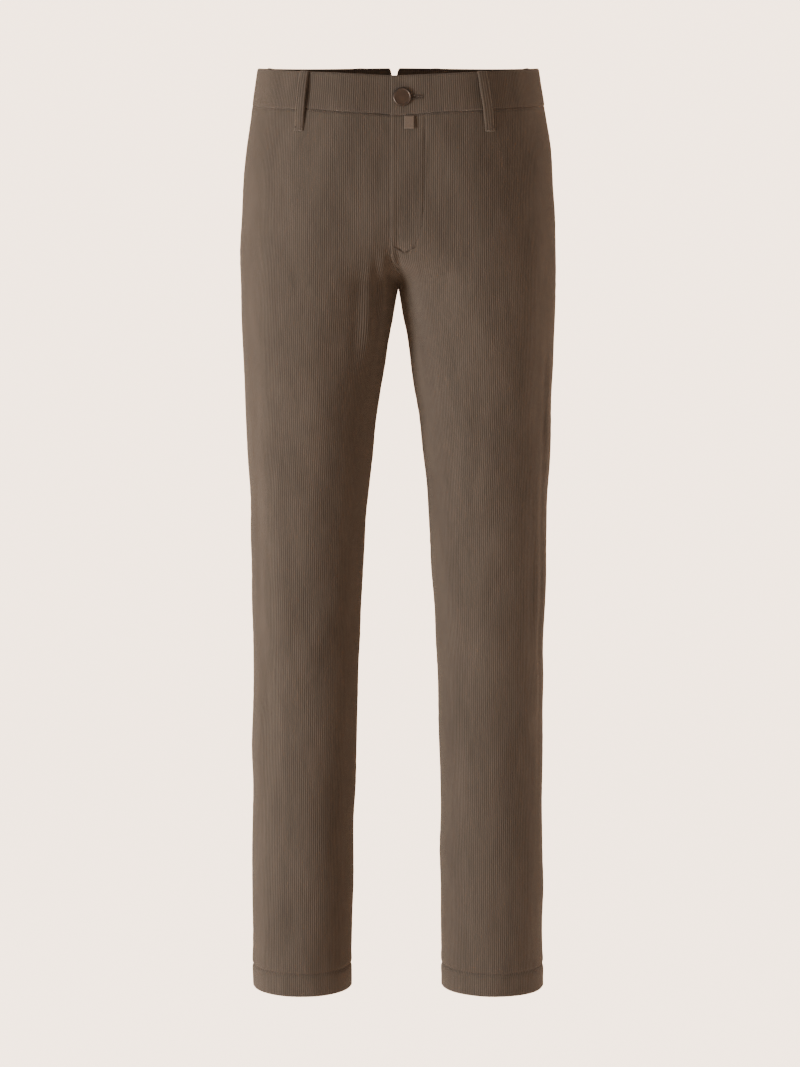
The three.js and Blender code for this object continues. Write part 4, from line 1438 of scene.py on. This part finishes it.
@dataclass
class Waistband:
    """One half of the waistband, from its lap at centre front to the V notch at centre back."""

    side: Side
    lap: dict[Side, float] = field(default_factory=lambda: {Side.LEFT: 8.0, Side.RIGHT: 34.0})
    cloth: float = BAND_CLOTH
    stand: float = BAND_STAND
    dip_start: float = 44.0
    dip_end: float = 9.0
    seam_overlap: float = 0.2
    notch_depth: float = 15.5
    notch_half_width: float = 6.3
    notch_rounding: float = 0.12
    edge_margin: float = 0.2
    edge_drop: float = 0.5
    edge_width: float = 1.1
    inner_wale_share: float = 0.5
    waves: tuple[tuple[float, float, float], ...] = ((0.25, 13.7, 0.8), (0.18, 7.9, 2.2))
    wave_foot: float = -26.0
    wave_span: float = 46.0
    profile: tuple[tuple[float, float, float, float], ...] = (
        (0, 0.0, -0.1, -0.3),
        (0, 0.15, 0.4, -0.8),
        (0, 0.6, 0.8, -1.2),
        (0, 1.4, 1.1, -1.35),
        (0, 2.8, 1.3, -1.3),
        (0, 4.6, 1.15, -1.2),
        (0.2, 0, 1.1, -1.1),
        (0.35, 0, 0.9, -1.0),
        (0.5, 0, 0.85, -1.0),
        (0.65, 0, 0.95, -1.0),
        (0.82, 0, 1.1, -1.1),
        (1, -2.4, 1.15, -1.2),
        (1, -1.1, 1.0, -1.25),
        (1, -0.4, 0.65, -1.3),
        (1, 0, 0.1, -1.3),
    )

    @property
    def name(self) -> str:
        """The node that this half stands for."""
        return f"waistband_{self.side.label}"

    def build(self, form: BodyForm, finishes: Finishes) -> bpy.types.Object:
        """Makes this half as a doubled, ribbed wall.

        Args:
            form: The body surface.
            finishes: The garment's materials.

        Returns:
            The half's object.
        """
        side = self.side
        front = float(form.length(side, Face.FRONT, 0.0))
        back = float(form.length(side, Face.BACK, 0.0))
        start = -(front + self.lap[side])
        seam = back + side.value * BACK_SEAM_LEAN + self.seam_overlap
        count = int((seam - start) / SAMPLE_STEP)
        columns = np.arange(count + 2)
        places = np.minimum(start + columns * SAMPLE_STEP, seam)
        rows = np.array(self.profile)
        down_share, down = rows[:, 0:1], rows[:, 1:2]
        share = form.waist_share(side, places)[None, :]
        from_seam = np.clip((seam - places) / self.notch_half_width, 0, 1)
        notch = from_seam - self.notch_rounding * np.sin(2 * math.pi * from_seam)
        top = BAND_TOP.at(share) - self.notch_depth * (1 - notch)
        bottom = BAND_SEAM.at(share)
        z = top + (bottom - top) * down_share - down
        s = form.level_place(side, z, places[None, :] + np.zeros_like(z))
        ends = [form.level_place(side, z, np.full_like(z, end)) for end in (start, seam)]
        dip = np.zeros_like(z)
        if side is Side.RIGHT:
            dip = (self.cloth + SEAM_GAP) * (1 - smooth(self.dip_end, self.dip_start, places + front))
        middle = self.stand - self.cloth / 2 - dip
        point = form.point(side, z, s)
        out = form.outward(side, z, s, *ends)
        relief = self.relief(places, z)
        edge = np.minimum(places - start, seam - places)
        on_edge = edge < self.edge_margin
        rounding = -self.edge_drop * np.exp(-((edge / self.edge_width) ** 2))[None, :]
        wales = np.where(on_edge, -WALE_HEIGHT * WALE_SINK, ribbed(columns))[None, :]
        soft = np.clip(np.abs(down), 0, 1)
        soft = np.where((down_share > 0) & (down_share < 1), 1.0, soft)
        outer = point + out * (middle + rows[:, 2:3] + relief + rounding + wales * soft)[..., None]
        stride = SAMPLES // 2
        coarse = np.minimum(np.arange(0, count + 1 + stride, stride), count + 1)
        crowns = crown(coarse)[None, :] + np.zeros((len(rows), 1))
        inner = (point + out * (middle + rows[:, 3:4] + relief)[..., None])[:, coarse]
        inner -= out[:, coarse] * (self.inner_wale_share * WALE_HEIGHT * crowns)[..., None]
        low = np.zeros(len(rows), int)
        high = np.full(len(rows), count + 1)
        ridge = np.where(on_edge, EDGE_RIDGE, crown(columns))[None, :] + np.zeros_like(z)
        wall = Wall(self.name + "_cloth", outer, inner, low, high, stride, ridge, crowns)
        piece = wall.build([finishes.cloth, finishes.cloth], side is Side.LEFT)
        if side is Side.LEFT:
            Button().cut_hole(piece, form)
        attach(piece, BODY)
        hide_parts(self.name)
        panel = f"front_{side.label}_cloth"
        LOG.info("%s: %d faces", piece.name, len(piece.data.polygons))
        return piece

    def relief(self, places: np.ndarray, z: np.ndarray) -> np.ndarray:
        """Soft waves of the band between its loops and over the body.

        Args:
            places: Distances from the side seam along the band.
            z: Heights, by row and column.

        Returns:
            How far the cloth stands out.
        """
        wave = sum(height * np.sin(places / length + start) for height, length, start in self.waves)
        return wave[None, :] * np.sin(math.pi * np.clip((z - self.wave_foot) / self.wave_span, 0, 1))


@dataclass
class BeltLoop:
    """A belt loop that stands off the band and is tacked at both ends."""

    side: Side
    place: float
    lean: float
    name: str
    width: float = 10.4
    thick: float = 1.8
    drop: float = 64.0
    band_stand: float = BAND_STAND
    ribs: int = 4
    wale_share: float = 0.8
    edge_margin: float = 0.1
    edge_sink: float = 0.3
    edge_drop: float = 0.55
    edge_width: float = 0.9
    bulge: float = 0.25
    stitch_inset: float = 1.9
    stitch_trough: float = 0.3
    stitch_trough_width: float = 0.55
    tack_row: int = 5
    tack_lift: float = 0.15
    tack_width: float = 2.0
    tack_strands: int = 22
    line_points: int = 64
    path: tuple[tuple[float, float, float], ...] = (
        (0, -0.6, 0.4),
        (0.02, 0, 1.1),
        (0.09, 0, 1.9),
        (0.25, 0, 3.0),
        (0.5, 0, 3.3),
        (0.72, 0, 2.9),
        (0.88, 0, 1.5),
        (0.94, 0, 0.4),
        (1, 0, 0.35),
    )

    def centre_line(self) -> tuple[np.ndarray, np.ndarray, float]:
        """The underside's line, with its points evenly spaced.

        Returns:
            Distances from the cloth, heights, and the height of the band's top.
        """
        top = float(BAND_TOP.at(np.array(self.place)))
        rows = np.array(self.path)
        off_band = 1 - smooth(0.6, 0.85, rows[:, 0])
        out = rows[:, 2] + self.band_stand * off_band
        z = top + rows[:, 1] - rows[:, 0] * self.drop
        along = np.concatenate([[0.0], np.cumsum(np.hypot(np.diff(out), np.diff(z)))])
        even = np.linspace(0, along[-1], self.line_points)
        out, z = np.interp(even, along, out), np.interp(even, along, z)
        for _ in range(3):
            out[1:-1] = (out[:-2] + 2 * out[1:-1] + out[2:]) / 4
            z[1:-1] = (z[:-2] + 2 * z[1:-1] + z[2:]) / 4
        return out, z, top

    def grid(
        self, form: BodyForm, out: np.ndarray, z: np.ndarray, across: np.ndarray, top: float
    ) -> np.ndarray:
        """Points over the body, for rows along and columns across the loop.

        Args:
            form: The body surface.
            out: Distances out of the cloth.
            z: Heights.
            across: Shares of the loop's width, from its middle.
            top: Height of the band's top.

        Returns:
            The points.
        """
        face = Face.FRONT if self.place < 0 else Face.BACK
        middle = self.place * float(form.length(self.side, face, 0.0))
        leaning = self.lean * (top - z) / self.drop * np.sign(self.place)
        s = middle + across * self.width - leaning
        ends = np.full_like(s, middle - self.drop), np.full_like(s, middle + self.drop)
        point = form.point(self.side, z, s)
        relief = cloth_relief(face, point[..., 0], z, fine=False)
        return point + form.outward(self.side, z, s, *ends) * (out + relief)[..., None]

    def build(self, form: BodyForm, finishes: Finishes, threads: Threads) -> bpy.types.Object:
        """Makes the loop and adds its stitching to the threads.

        Args:
            form: The body surface.
            finishes: The garment's materials.
            threads: Where the stitching goes.

        Returns:
            The loop's object.
        """
        out, z, top = self.centre_line()
        tangent = np.stack([np.gradient(out), np.gradient(z)])
        tangent /= np.linalg.norm(tangent, axis=0)
        normal = np.stack([-tangent[1], tangent[0]])
        columns = np.arange(self.ribs * SAMPLES + 1)
        across = columns / (self.ribs * SAMPLES) - 0.5
        edge = (0.5 - np.abs(across)) * self.width
        on_edge = edge < self.edge_margin
        wales = np.where(on_edge, -self.edge_sink, ribbed(columns) * self.wale_share)
        rounding = -self.edge_drop * np.exp(-((edge / self.edge_width) ** 2))
        off_stitches = (edge - self.stitch_inset) / self.stitch_trough_width
        trough = -self.stitch_trough * np.exp(-(off_stitches**2))
        bulge = self.bulge * (1 - (2 * across) ** 2)
        lift = (self.thick + bulge + wales + rounding + trough)[None, :]
        rows = np.arange(len(z))[:, None] + np.zeros_like(across)[None, :].astype(int)
        outer = self.grid(form, out[rows] + normal[0][rows] * lift, z[rows] + normal[1][rows] * lift,
                          across[None, :] + np.zeros_like(rows), top)
        coarse = across[::SAMPLES]
        plain = np.arange(len(z))[:, None] + np.zeros_like(coarse)[None, :].astype(int)
        inner = self.grid(form, out[plain], z[plain], coarse[None, :] + np.zeros_like(plain), top)
        low = np.zeros(len(z), int)
        high = np.full(len(z), len(columns) - 1)
        ridge = np.where(on_edge, EDGE_RIDGE, crown(columns))[None, :] + np.zeros((len(z), 1))
        wall = Wall(self.name + "_cloth", outer, inner, low, high, SAMPLES, ridge)
        piece = wall.build([finishes.cloth, finishes.cloth_back], self.side is Side.LEFT)
        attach(piece, BODY)
        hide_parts(self.name)
        band = f"waistband_{self.side.label}_cloth"
        self.sew(outer, columns, edge, threads)
        return piece

    def sew(self, outer: np.ndarray, columns: np.ndarray, edge: np.ndarray, threads: Threads) -> None:
        """Adds edge stitching down both sides and a bar tack near the foot.

        Args:
            outer: The outer face's points, by row and column.
            columns: The columns' numbers.
            edge: Each column's distance from the nearer edge.
            threads: Where the stitching goes.
        """
        across = outer[:, -1] - outer[:, 0]
        along = np.gradient(outer[:, len(columns) // 2], axis=0)
        outs = np.cross(along, across)
        outs /= np.linalg.norm(outs, axis=1, keepdims=True)
        centre = outer.mean(axis=(0, 1))
        away = outer[len(outer) // 2, 0] - centre * [0, 0, 1]
        outs *= np.sign(np.sum(outs * away, axis=1, keepdims=True))
        near = int(np.argmin(np.abs(edge[: len(columns) // 2] - self.stitch_inset)))
        for column in (near, len(columns) - 1 - near):
            threads.run(outer[8:-3, column], outs[8:-3])
        row = len(outer) - self.tack_row
        lift = outs[row] * self.tack_lift
        start, end = outer[row, 1] + lift, outer[row, -2] + lift
        threads.bar(start, end, outs[row], self.tack_width, self.tack_strands)


@dataclass
class ClosureStrip:
    """A strip of cloth at the front opening, inside or outside the left front."""

    name: str
    top: float
    foot: float
    start: float
    end: float
    outside: tuple[float, float]
    cloth: float
    slot: str
    row_step: float = 5.0
    edge_drop: float = 0.35
    edge_width: float = 0.7
    foot_width: float = 0.8

    def build(self, form: BodyForm, finish: bpy.types.Material) -> bpy.types.Object:
        """Makes the strip as a wall with softened edges.

        Args:
            form: The body surface.
            finish: The strip's material, inside and out.

        Returns:
            The strip's object.
        """
        side = Side.LEFT
        steps = max(4, int((self.end - self.start) / SAMPLE_STEP) // SAMPLES * SAMPLES)
        columns = np.arange(steps + 1)
        x = self.start + (self.end - self.start) * columns / steps
        rows = max(8, int((self.top - self.foot) / self.row_step))
        share = np.linspace(0, 1, rows + 1)[:, None]
        z = self.top + (self.foot - self.top) * share + np.zeros_like(x)[None, :]
        front = form.length(side, Face.FRONT, z)
        s = -front + x[None, :]
        ends = -front - FLY_REACH, np.zeros_like(z)
        point = form.point(side, z, s)
        out = form.outward(side, z, s, *ends)
        relief = cloth_relief(Face.FRONT, point[..., 0], z, fine=self.outside[0] < 0)
        base = self.outside[0] + (self.outside[1] - self.outside[0]) * share + relief
        edge = np.minimum(x - self.start, self.end - x)[None, :]
        off_foot = np.exp(-(((z - self.foot) / self.foot_width) ** 2))
        rounding = -self.edge_drop * (np.exp(-((edge / self.edge_width) ** 2)) + off_foot)
        outer = point + out * (base + rounding)[..., None]
        inner = (point + out * (base - self.cloth)[..., None])[:, ::SAMPLES]
        low = np.zeros(rows + 1, int)
        high = np.full(rows + 1, steps)
        ridge = crown(columns)[None, :] + np.zeros_like(z)
        wall = Wall(self.name + "_cloth", outer, inner, low, high, SAMPLES, ridge)
        piece = wall.build([finish, finish], True)
        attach(piece, BODY)
        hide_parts(self.name)
        return piece


@dataclass
class Pocket:
    """A side-seam pocket: one wall of its bag behind the front, reaching past the side seam."""

    side: Side
    top: float = -40.0
    foot: float = -290.0
    behind: float = 7.0
    tuck: float = 0.9
    cloth: float = 1.0
    row_step: float = 9.0
    reach_share: float = 0.6
    corner: float = 46.0
    foot_share: float = 0.72
    end_margin: float = 3.0
    steps: int = 40
    range_front: float = -300.0
    range_back: float = 12.0

    @property
    def name(self) -> str:
        """The node that this pocket stands for."""
        return f"pocket_{self.side.label}"

    def build(self, form: BodyForm, finishes: Finishes) -> bpy.types.Object:
        """Makes the bag's wall.

        Args:
            form: The body surface.
            finishes: The garment's materials.

        Returns:
            The pocket's object.
        """
        side = self.side
        rows = np.arange(self.top - self.end_margin, self.foot + self.end_margin, -self.row_step)[:, None]
        share = np.linspace(0, 1, self.steps + 1)[None, :]
        length = form.length(side, Face.FRONT, rows)
        reach = length * self.reach_share
        corner = np.clip((rows - self.foot) / self.corner, 0, 1)
        reach = reach * (self.foot_share + (1 - self.foot_share) * np.sqrt(1 - (1 - corner) ** 2))
        place = -self.behind + (reach + self.behind) * share
        z = rows + np.zeros_like(place)
        s = -place
        ends = np.full_like(s, self.range_front), np.full_like(s, self.range_back)
        point = form.point(side, z, s)
        out = form.outward(side, z, s, *ends)
        front, back = (cloth_relief(face, point[..., 0], z) for face in (Face.FRONT, Face.BACK))
        relief = np.where(s < 0, front, back)
        base = -CLOTH - SEAM_GAP - self.tuck * smooth(2.0, self.behind, -place) + relief
        outer = point + out * base[..., None]
        inner = (point + out * (base - self.cloth)[..., None])[:, ::SAMPLES]
        low = np.zeros(len(rows), int)
        high = np.full(len(rows), share.shape[1] - 1)
        wall = Wall(self.name + "_cloth", outer, inner, low, high, SAMPLES, np.ones_like(z))
        piece = wall.build([finishes.pocketing, finishes.pocketing], side is Side.RIGHT)
        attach(piece, BODY)
        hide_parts(self.name)
        f"front_{side.label}_cloth"
        return piece


@dataclass
class Button:
    """The waist button, turned with a raised rim and a dished face."""

    x: float = 4.0
    z: float = -17.0
    hole_radius: float = 3.1
    hole_steps: int = 40
    slit_half: float = 0.3
    slit_reach: float = 22.0
    cut_depth: float = 8.0
    profile: tuple[tuple[float, float], ...] = (
        (0.0, 0.0), (2.6, 0.0), (2.6, 3.1), (6.0, 3.05), (9.2, 3.15), (9.8, 3.4), (10.15, 3.8), (10.2, 4.2),
        (10.1, 4.7), (9.8, 5.2), (9.4, 5.6), (9.0, 5.82), (8.7, 5.9), (8.4, 5.85), (8.2, 5.65), (8.0, 5.55),
        (7.0, 5.5), (0.0, 5.4),
    )
    segments: int = 72

    def seat(self, form: BodyForm) -> tuple[np.ndarray, np.ndarray]:
        """Finds where the button sits on the underlap.

        Args:
            form: The body surface.

        Returns:
            The middle of its foot and the direction that it faces.
        """
        front = form.length(Side.LEFT, Face.FRONT, self.z)
        s = np.array([-front + self.x])
        z = np.array([self.z])
        out = form.outward(Side.LEFT, z, s, np.array([-front - FLY_REACH]), np.array([0.0]))[0]
        point = form.point(Side.LEFT, z, s)[0]
        relief = cloth_relief(Face.FRONT, point[0], self.z, fine=False)
        return point + out * (BAND_STAND - BAND_CLOTH + relief), out

    def cut_hole(self, band: bpy.types.Object, form: BodyForm) -> None:
        """Cuts the buttonhole: a round end for the shank and a slit towards the side.

        Args:
            band: The left half of the waistband.
            form: The body surface.
        """
        foot, out = self.seat(form)
        across = np.cross([0.0, 0.0, 1.0], out)
        across /= np.linalg.norm(across)
        up = np.cross(out, across)
        start = math.asin(self.slit_half / self.hole_radius)
        angles = np.linspace(start, 2 * math.pi - start, self.hole_steps)
        radius = self.hole_radius
        outline = [(radius * math.cos(angle), radius * math.sin(angle)) for angle in angles]
        outline += [(self.slit_reach, -self.slit_half), (self.slit_reach, self.slit_half)]
        count = len(outline)
        points = [foot + across * x + up * y + out * depth for depth in (-self.cut_depth, self.cut_depth)
                  for x, y in outline]
        sides = [[i, (i + 1) % count, count + (i + 1) % count, count + i] for i in range(count)]
        faces = [list(range(count))[::-1], list(range(count, 2 * count)), *sides]
        mesh = bpy.data.meshes.new("buttonhole_cutter")
        mesh.from_pydata((np.array(points) * MM).tolist(), [], faces)
        cutter = bpy.data.objects.new("buttonhole_cutter", mesh)
        bpy.context.scene.collection.objects.link(cutter)
        cut = band.modifiers.new("buttonhole", "BOOLEAN")
        cut.operation = "DIFFERENCE"
        cut.solver = "EXACT"
        cut.object = cutter
        graph = bpy.context.evaluated_depsgraph_get()
        whole = band.data
        opened = bpy.data.meshes.new_from_object(band.evaluated_get(graph))
        band.modifiers.clear()
        band.data = opened
        bpy.data.meshes.remove(whole)
        bpy.data.objects.remove(cutter)
        bpy.data.meshes.remove(mesh)
        LOG.info("%s: %d faces after the buttonhole", band.name, len(opened.polygons))

    def build(self, form: BodyForm, finishes: Finishes) -> bpy.types.Object:
        """Makes the button.

        Args:
            form: The body surface.
            finishes: The garment's materials.

        Returns:
            The button's object.
        """
        foot, out = self.seat(form)
        right = np.cross(out, [0.0, 0.0, 1.0])
        right /= np.linalg.norm(right)
        up = np.cross(right, out)
        points, faces = [foot + out * self.profile[0][1]], []
        for radius, height in self.profile[1:-1]:
            for i in range(self.segments):
                angle = 2 * math.pi * i / self.segments
                spoke = right * math.cos(angle) + up * math.sin(angle)
                points.append(foot + spoke * radius + out * height)
        points.append(foot + out * self.profile[-1][1])
        rings = len(self.profile) - 2
        for i in range(self.segments):
            j = (i + 1) % self.segments
            faces.append([0, 1 + i, 1 + j])
            for ring in range(rings - 1):
                base = 1 + ring * self.segments
                faces.append([base + i, base + self.segments + i, base + self.segments + j, base + j])
            base = 1 + (rings - 1) * self.segments
            faces.append([base + i, len(points) - 1, base + j])
        mesh = bpy.data.meshes.new("waist_button_metal")
        mesh.from_pydata((np.array(points) * MM).tolist(), [], faces)
        mesh.polygons.foreach_set("use_smooth", [True] * len(faces))
        mesh.materials.append(finishes.bronze)
        mesh.update()
        piece = bpy.data.objects.new("waist_button_metal", mesh)
        bpy.context.scene.collection.objects.link(piece)
        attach(piece, BODY)
        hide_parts("waist_button")
        return piece


@dataclass
class Studio:
    """Camera, seamless pale sweep and soft lights."""

    camera_place: tuple[float, float, float] = (0.0018, -3.3, -0.181)
    pitch: float = 5.52
    sensor: float = 36.0
    pixels: float = 2935.0
    picture_height: float = 1067.0
    pale: tuple[float, float, float] = (0.93, 0.735, 0.585)
    glow: float = 4.4
    spill: float = 0.12
    floor_z: float = -1.45
    aim: tuple[float, float, float] = (0.0, 0.0, -0.45)
    wall_radius: float = 7.0
    bend_radius: float = 2.2
    wall_top: float = 5.0
    bend_steps: int = 24
    segments: int = 96

    def camera(self) -> None:
        """Places the camera at the photograph's height and angle."""
        data = bpy.data.cameras.new("camera")
        data.sensor_fit = "VERTICAL"
        data.sensor_height = self.sensor
        data.lens = self.pixels / self.picture_height * self.sensor
        camera = bpy.data.objects.new("camera", data)
        camera.location = self.camera_place
        camera.rotation_euler = (math.radians(90 - self.pitch), 0, 0)
        bpy.context.scene.collection.objects.link(camera)
        bpy.context.scene.camera = camera

    def sweep(self) -> None:
        """Makes a round floor that curves up into a wall on every side."""
        flat_radius = self.wall_radius - self.bend_radius
        profile = [(flat_radius * 0.5, self.floor_z)]
        for i in range(self.bend_steps + 1):
            angle = math.radians(90 * i / self.bend_steps)
            height = self.floor_z + self.bend_radius * (1 - math.cos(angle))
            profile.append((flat_radius + self.bend_radius * math.sin(angle), height))
        profile.append((self.wall_radius, self.wall_top))
        points = [(0.0, 0.0, self.floor_z)]
        for radius, height in profile:
            for i in range(self.segments):
                angle = 2 * math.pi * i / self.segments
                points.append((radius * math.cos(angle), radius * math.sin(angle), height))
        faces = []
        for i in range(self.segments):
            j = (i + 1) % self.segments
            faces.append([0, 1 + i, 1 + j])
            for ring in range(len(profile) - 1):
                base = 1 + ring * self.segments
                above = base + self.segments
                faces.append([base + i, above + i, above + j, base + j])
        mesh = bpy.data.meshes.new("sweep")
        mesh.from_pydata(points, [], faces)
        mesh.polygons.foreach_set("use_smooth", [True] * len(faces))
        material, wiring, shader = start_material("pale_paper")
        grain = wiring.add("ShaderNodeTexNoise", Scale=260.0, Detail=2.0)
        wiring.join(wiring.add("ShaderNodeTexCoord").outputs["Object"], grain.inputs["Vector"])
        add_bump(wiring, grain.outputs[0], shader, 0.0001)
        shader.inputs["Base Color"].default_value = (*self.pale, 1.0)
        shader.inputs["Roughness"].default_value = 0.95
        shader.inputs["Emission Color"].default_value = (*self.pale, 1.0)
        camera_rays = wiring.add("ShaderNodeLightPath").outputs["Is Camera Ray"]
        glow = wiring.math("ADD", wiring.math("MULTIPLY", camera_rays, self.glow), self.spill)
        wiring.join(glow, shader.inputs["Emission Strength"])
        mesh.materials.append(material)
        floor = bpy.data.objects.new("sweep", mesh)
        bpy.context.scene.collection.objects.link(floor)

    def light(
        self, name: str, place: tuple[float, float, float], size: float, power: float, warm: float
    ) -> None:
        """Adds a soft area light that faces the garment.

        Args:
            name: The light's name.
            place: Where it stands.
            size: Its width and height.
            power: Its strength in watts.
            warm: How warm its colour is, with 0 for white.
        """
        data = bpy.data.lights.new(name, "AREA")
        data.size = size
        data.energy = power
        data.color = (1.0, 1.0 - 0.5 * warm, 1.0 - warm)
        lamp = bpy.data.objects.new(name, data)
        lamp.location = place
        aim = Vector(self.aim) - Vector(place)
        lamp.rotation_euler = aim.to_track_quat("-Z", "Y").to_euler()
        bpy.context.scene.collection.objects.link(lamp)

    def world(self) -> None:
        """Gives the room a soft even light."""
        world = bpy.data.worlds.new("room")
        world.use_nodes = True
        background = world.node_tree.nodes["Background"]
        background.inputs["Color"].default_value = (1.0, 0.97, 0.94, 1.0)
        background.inputs["Strength"].default_value = 0.36
        bpy.context.scene.world = world

    def build(self) -> None:
        """Sets up the whole studio."""
        self.camera()
        self.sweep()
        self.world()
        self.light("key", (-2.8, -2.0, -0.7), 1.3, 134.0, 0.02)
        self.light("fill", (2.6, -2.4, -0.6), 2.4, 14.0, 0.0)
        self.light("left_edge", (-2.4, 1.2, -1.1), 1.4, 30.0, 0.03)
        self.light("right_edge", (2.0, 0.1, -1.3), 0.7, 17.0, 0.03)


class Trousers:
    """The whole garment, piece by piece."""

    LOOPS = (
        (Side.RIGHT, -0.519, -4.8, "belt_loop_front_right"),
        (Side.LEFT, -0.575, -3.1, "belt_loop_front_left"),
        (Side.RIGHT, 0.24, 2.0, "belt_loop_side_right"),
        (Side.LEFT, 0.24, 2.0, "belt_loop_side_left"),
        (Side.RIGHT, 0.78, 0.0, "belt_loop_back_right"),
        (Side.LEFT, 0.78, 0.0, "belt_loop_back_left"),
    )

    def __init__(self, form: BodyForm, finishes: Finishes) -> None:
        """Keeps the form and finishes that every piece shares."""
        self.form = form
        self.finishes = finishes

    def fly_stitching(self) -> None:
        """Sews the curved fly line, its two bar tacks and the buttonhole's edges."""
        threads = Threads("fly_stitching")
        panel = Panel(Side.LEFT, Face.FRONT)
        line = panel.fly_stitch_line()
        steps = np.concatenate([[0.0], np.cumsum(np.hypot(*np.diff(line, axis=0).T))])
        even = np.linspace(4, steps[-1], 220)
        x, z = np.interp(even, steps, line[:, 0]), np.interp(even, steps, line[:, 1])
        path, outs = self.on_fly(x, z, 0.0)
        threads.run(path, outs, length=2.3, gap=0.9)
        for x_pair, z_pair in (((-6.5, 5.5), (-177.5, -183.8)), ((7.5, 18.5), (-183.8, -177.5))):
            x, z = np.array(x_pair), np.array(z_pair)
            path, outs = self.on_fly(x, z, 0.3)
            threads.bar(path[0], path[1], outs[0], 1.8, 24)
        for rise in (1.35, -1.35):
            x, z = np.array([8.5, 26.5]), np.full(2, Button.z + rise)
            path, outs = self.on_fly(x, z, 0.8)
            threads.bar(path[0], path[1], outs[0], 2.3, 26)
        threads.build(self.finishes.thread)

    def pocket_tacks(self) -> None:
        """Sews a bar tack at each end of both pocket mouths."""
        threads = Threads("pocket_tacks")
        for side in Side:
            for z in (MOUTH_TOP_Z + 3, MOUTH_END_Z + 3):
                path, outs = self.on_cloth(side, np.array([-10.0, -1.5]), np.full(2, z), 0.4)
                threads.bar(path[0], path[1], outs[0], 2.2, 18)
        threads.build(self.finishes.thread)

    def hem_stitching(self) -> None:
        """Sews each hem's line of stitches, all round the leg."""
        threads = Threads("hem_stitching")
        for side in Side:
            for face in Face:
                reach = float(self.form.length(side, face, HEM_STITCH_Z))
                s = face.value * np.linspace(2.0, reach - 2.0, 240)
                path, outs = self.on_cloth(side, s, np.full_like(s, HEM_STITCH_Z), -0.3)
                threads.run(path, outs, length=2.5, gap=1.1)
        threads.build(self.finishes.thread)

    def on_fly(self, x: np.ndarray, z: np.ndarray, lift: float) -> tuple[np.ndarray, np.ndarray]:
        """Points on the left front by their distance from the centre plane.

        Args:
            x: Distances from the centre plane.
            z: Heights.
            lift: How far the points stand over the ribs' middle height.

        Returns:
            The points and their outward directions.
        """
        s = x - self.form.length(Side.LEFT, Face.FRONT, z)
        return self.on_cloth(Side.LEFT, s, z, lift)

    def on_cloth(
        self, side: Side, s: np.ndarray, z: np.ndarray, lift: float
    ) -> tuple[np.ndarray, np.ndarray]:
        """Points on the cloth of a panel and its outward directions.

        Args:
            side: The wearer's side.
            s: Signed distances from the side seam, all of one sign.
            z: Heights.
            lift: How far the points stand over the ribs' middle height.

        Returns:
            The points and the directions.
        """
        point = self.form.point(side, z, s)
        limit = np.full_like(s, self.form.REACH)
        outs = self.form.outward(side, z, s, -limit, limit)
        face = Face.FRONT if s[0] < 0 else Face.BACK
        relief = cloth_relief(face, point[:, 0], z)
        return point + outs * (relief + lift)[:, None], outs

    def build(self) -> None:
        """Makes every piece of the garment."""
        form, finishes = self.form, self.finishes
        for side in Side:
            for face in Face:
                Panel(side, face).build(form, finishes)
            Waistband(side).build(form, finishes)
            Pocket(side).build(form, finishes)
        threads = Threads("loop_stitching")
        for side, place, lean, name in self.LOOPS:
            BeltLoop(side, place, lean, name).build(form, finishes, threads)
        threads.build(finishes.thread)
        self.fly_stitching()
        self.pocket_tacks()
        self.hem_stitching()
        zip_out = -CLOTH - FLY_DIP - SEAM_GAP - 0.1
        tab = ClosureStrip("keeper_tab", -37, -51, 6, 17, (2.0, 3.5), 1.6, "cloth")
        tab.build(form, finishes.binding)
        tape = ClosureStrip("fly_zip", -44, -158, -6, 22, (zip_out, zip_out), 1.0, "zip_tape")
        tape.build(form, finishes.zip_tape)
        shield_out = zip_out - 1.0 - SEAM_GAP
        shield = ClosureStrip("fly_shield", -40, -164, -14, 32, (shield_out, shield_out), CLOTH, "pocketing")
        shield.build(form, finishes.pocketing)
        Button().build(form, finishes)


def dress_frame_metal(frame: dict, finishes: Finishes) -> None:
    """Gives the slider, whose own shape stays, its finish.

    Args:
        frame: The loaded frame.
        finishes: The garment's materials.
    """
    slider = frame["nodes"]["zip_slider"]
    slider.data.materials.clear()
    slider.data.materials.append(finishes.bronze)


def main() -> None:
    """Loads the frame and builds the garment."""
    logging.basicConfig(level=logging.INFO, format="%(name)s: %(message)s")
    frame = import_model()
    Studio().build()
    finishes = Finishes.build()
    Trousers(BodyForm(), finishes).build()
    dress_frame_metal(frame, finishes)


if __name__ == "__main__":
    main()
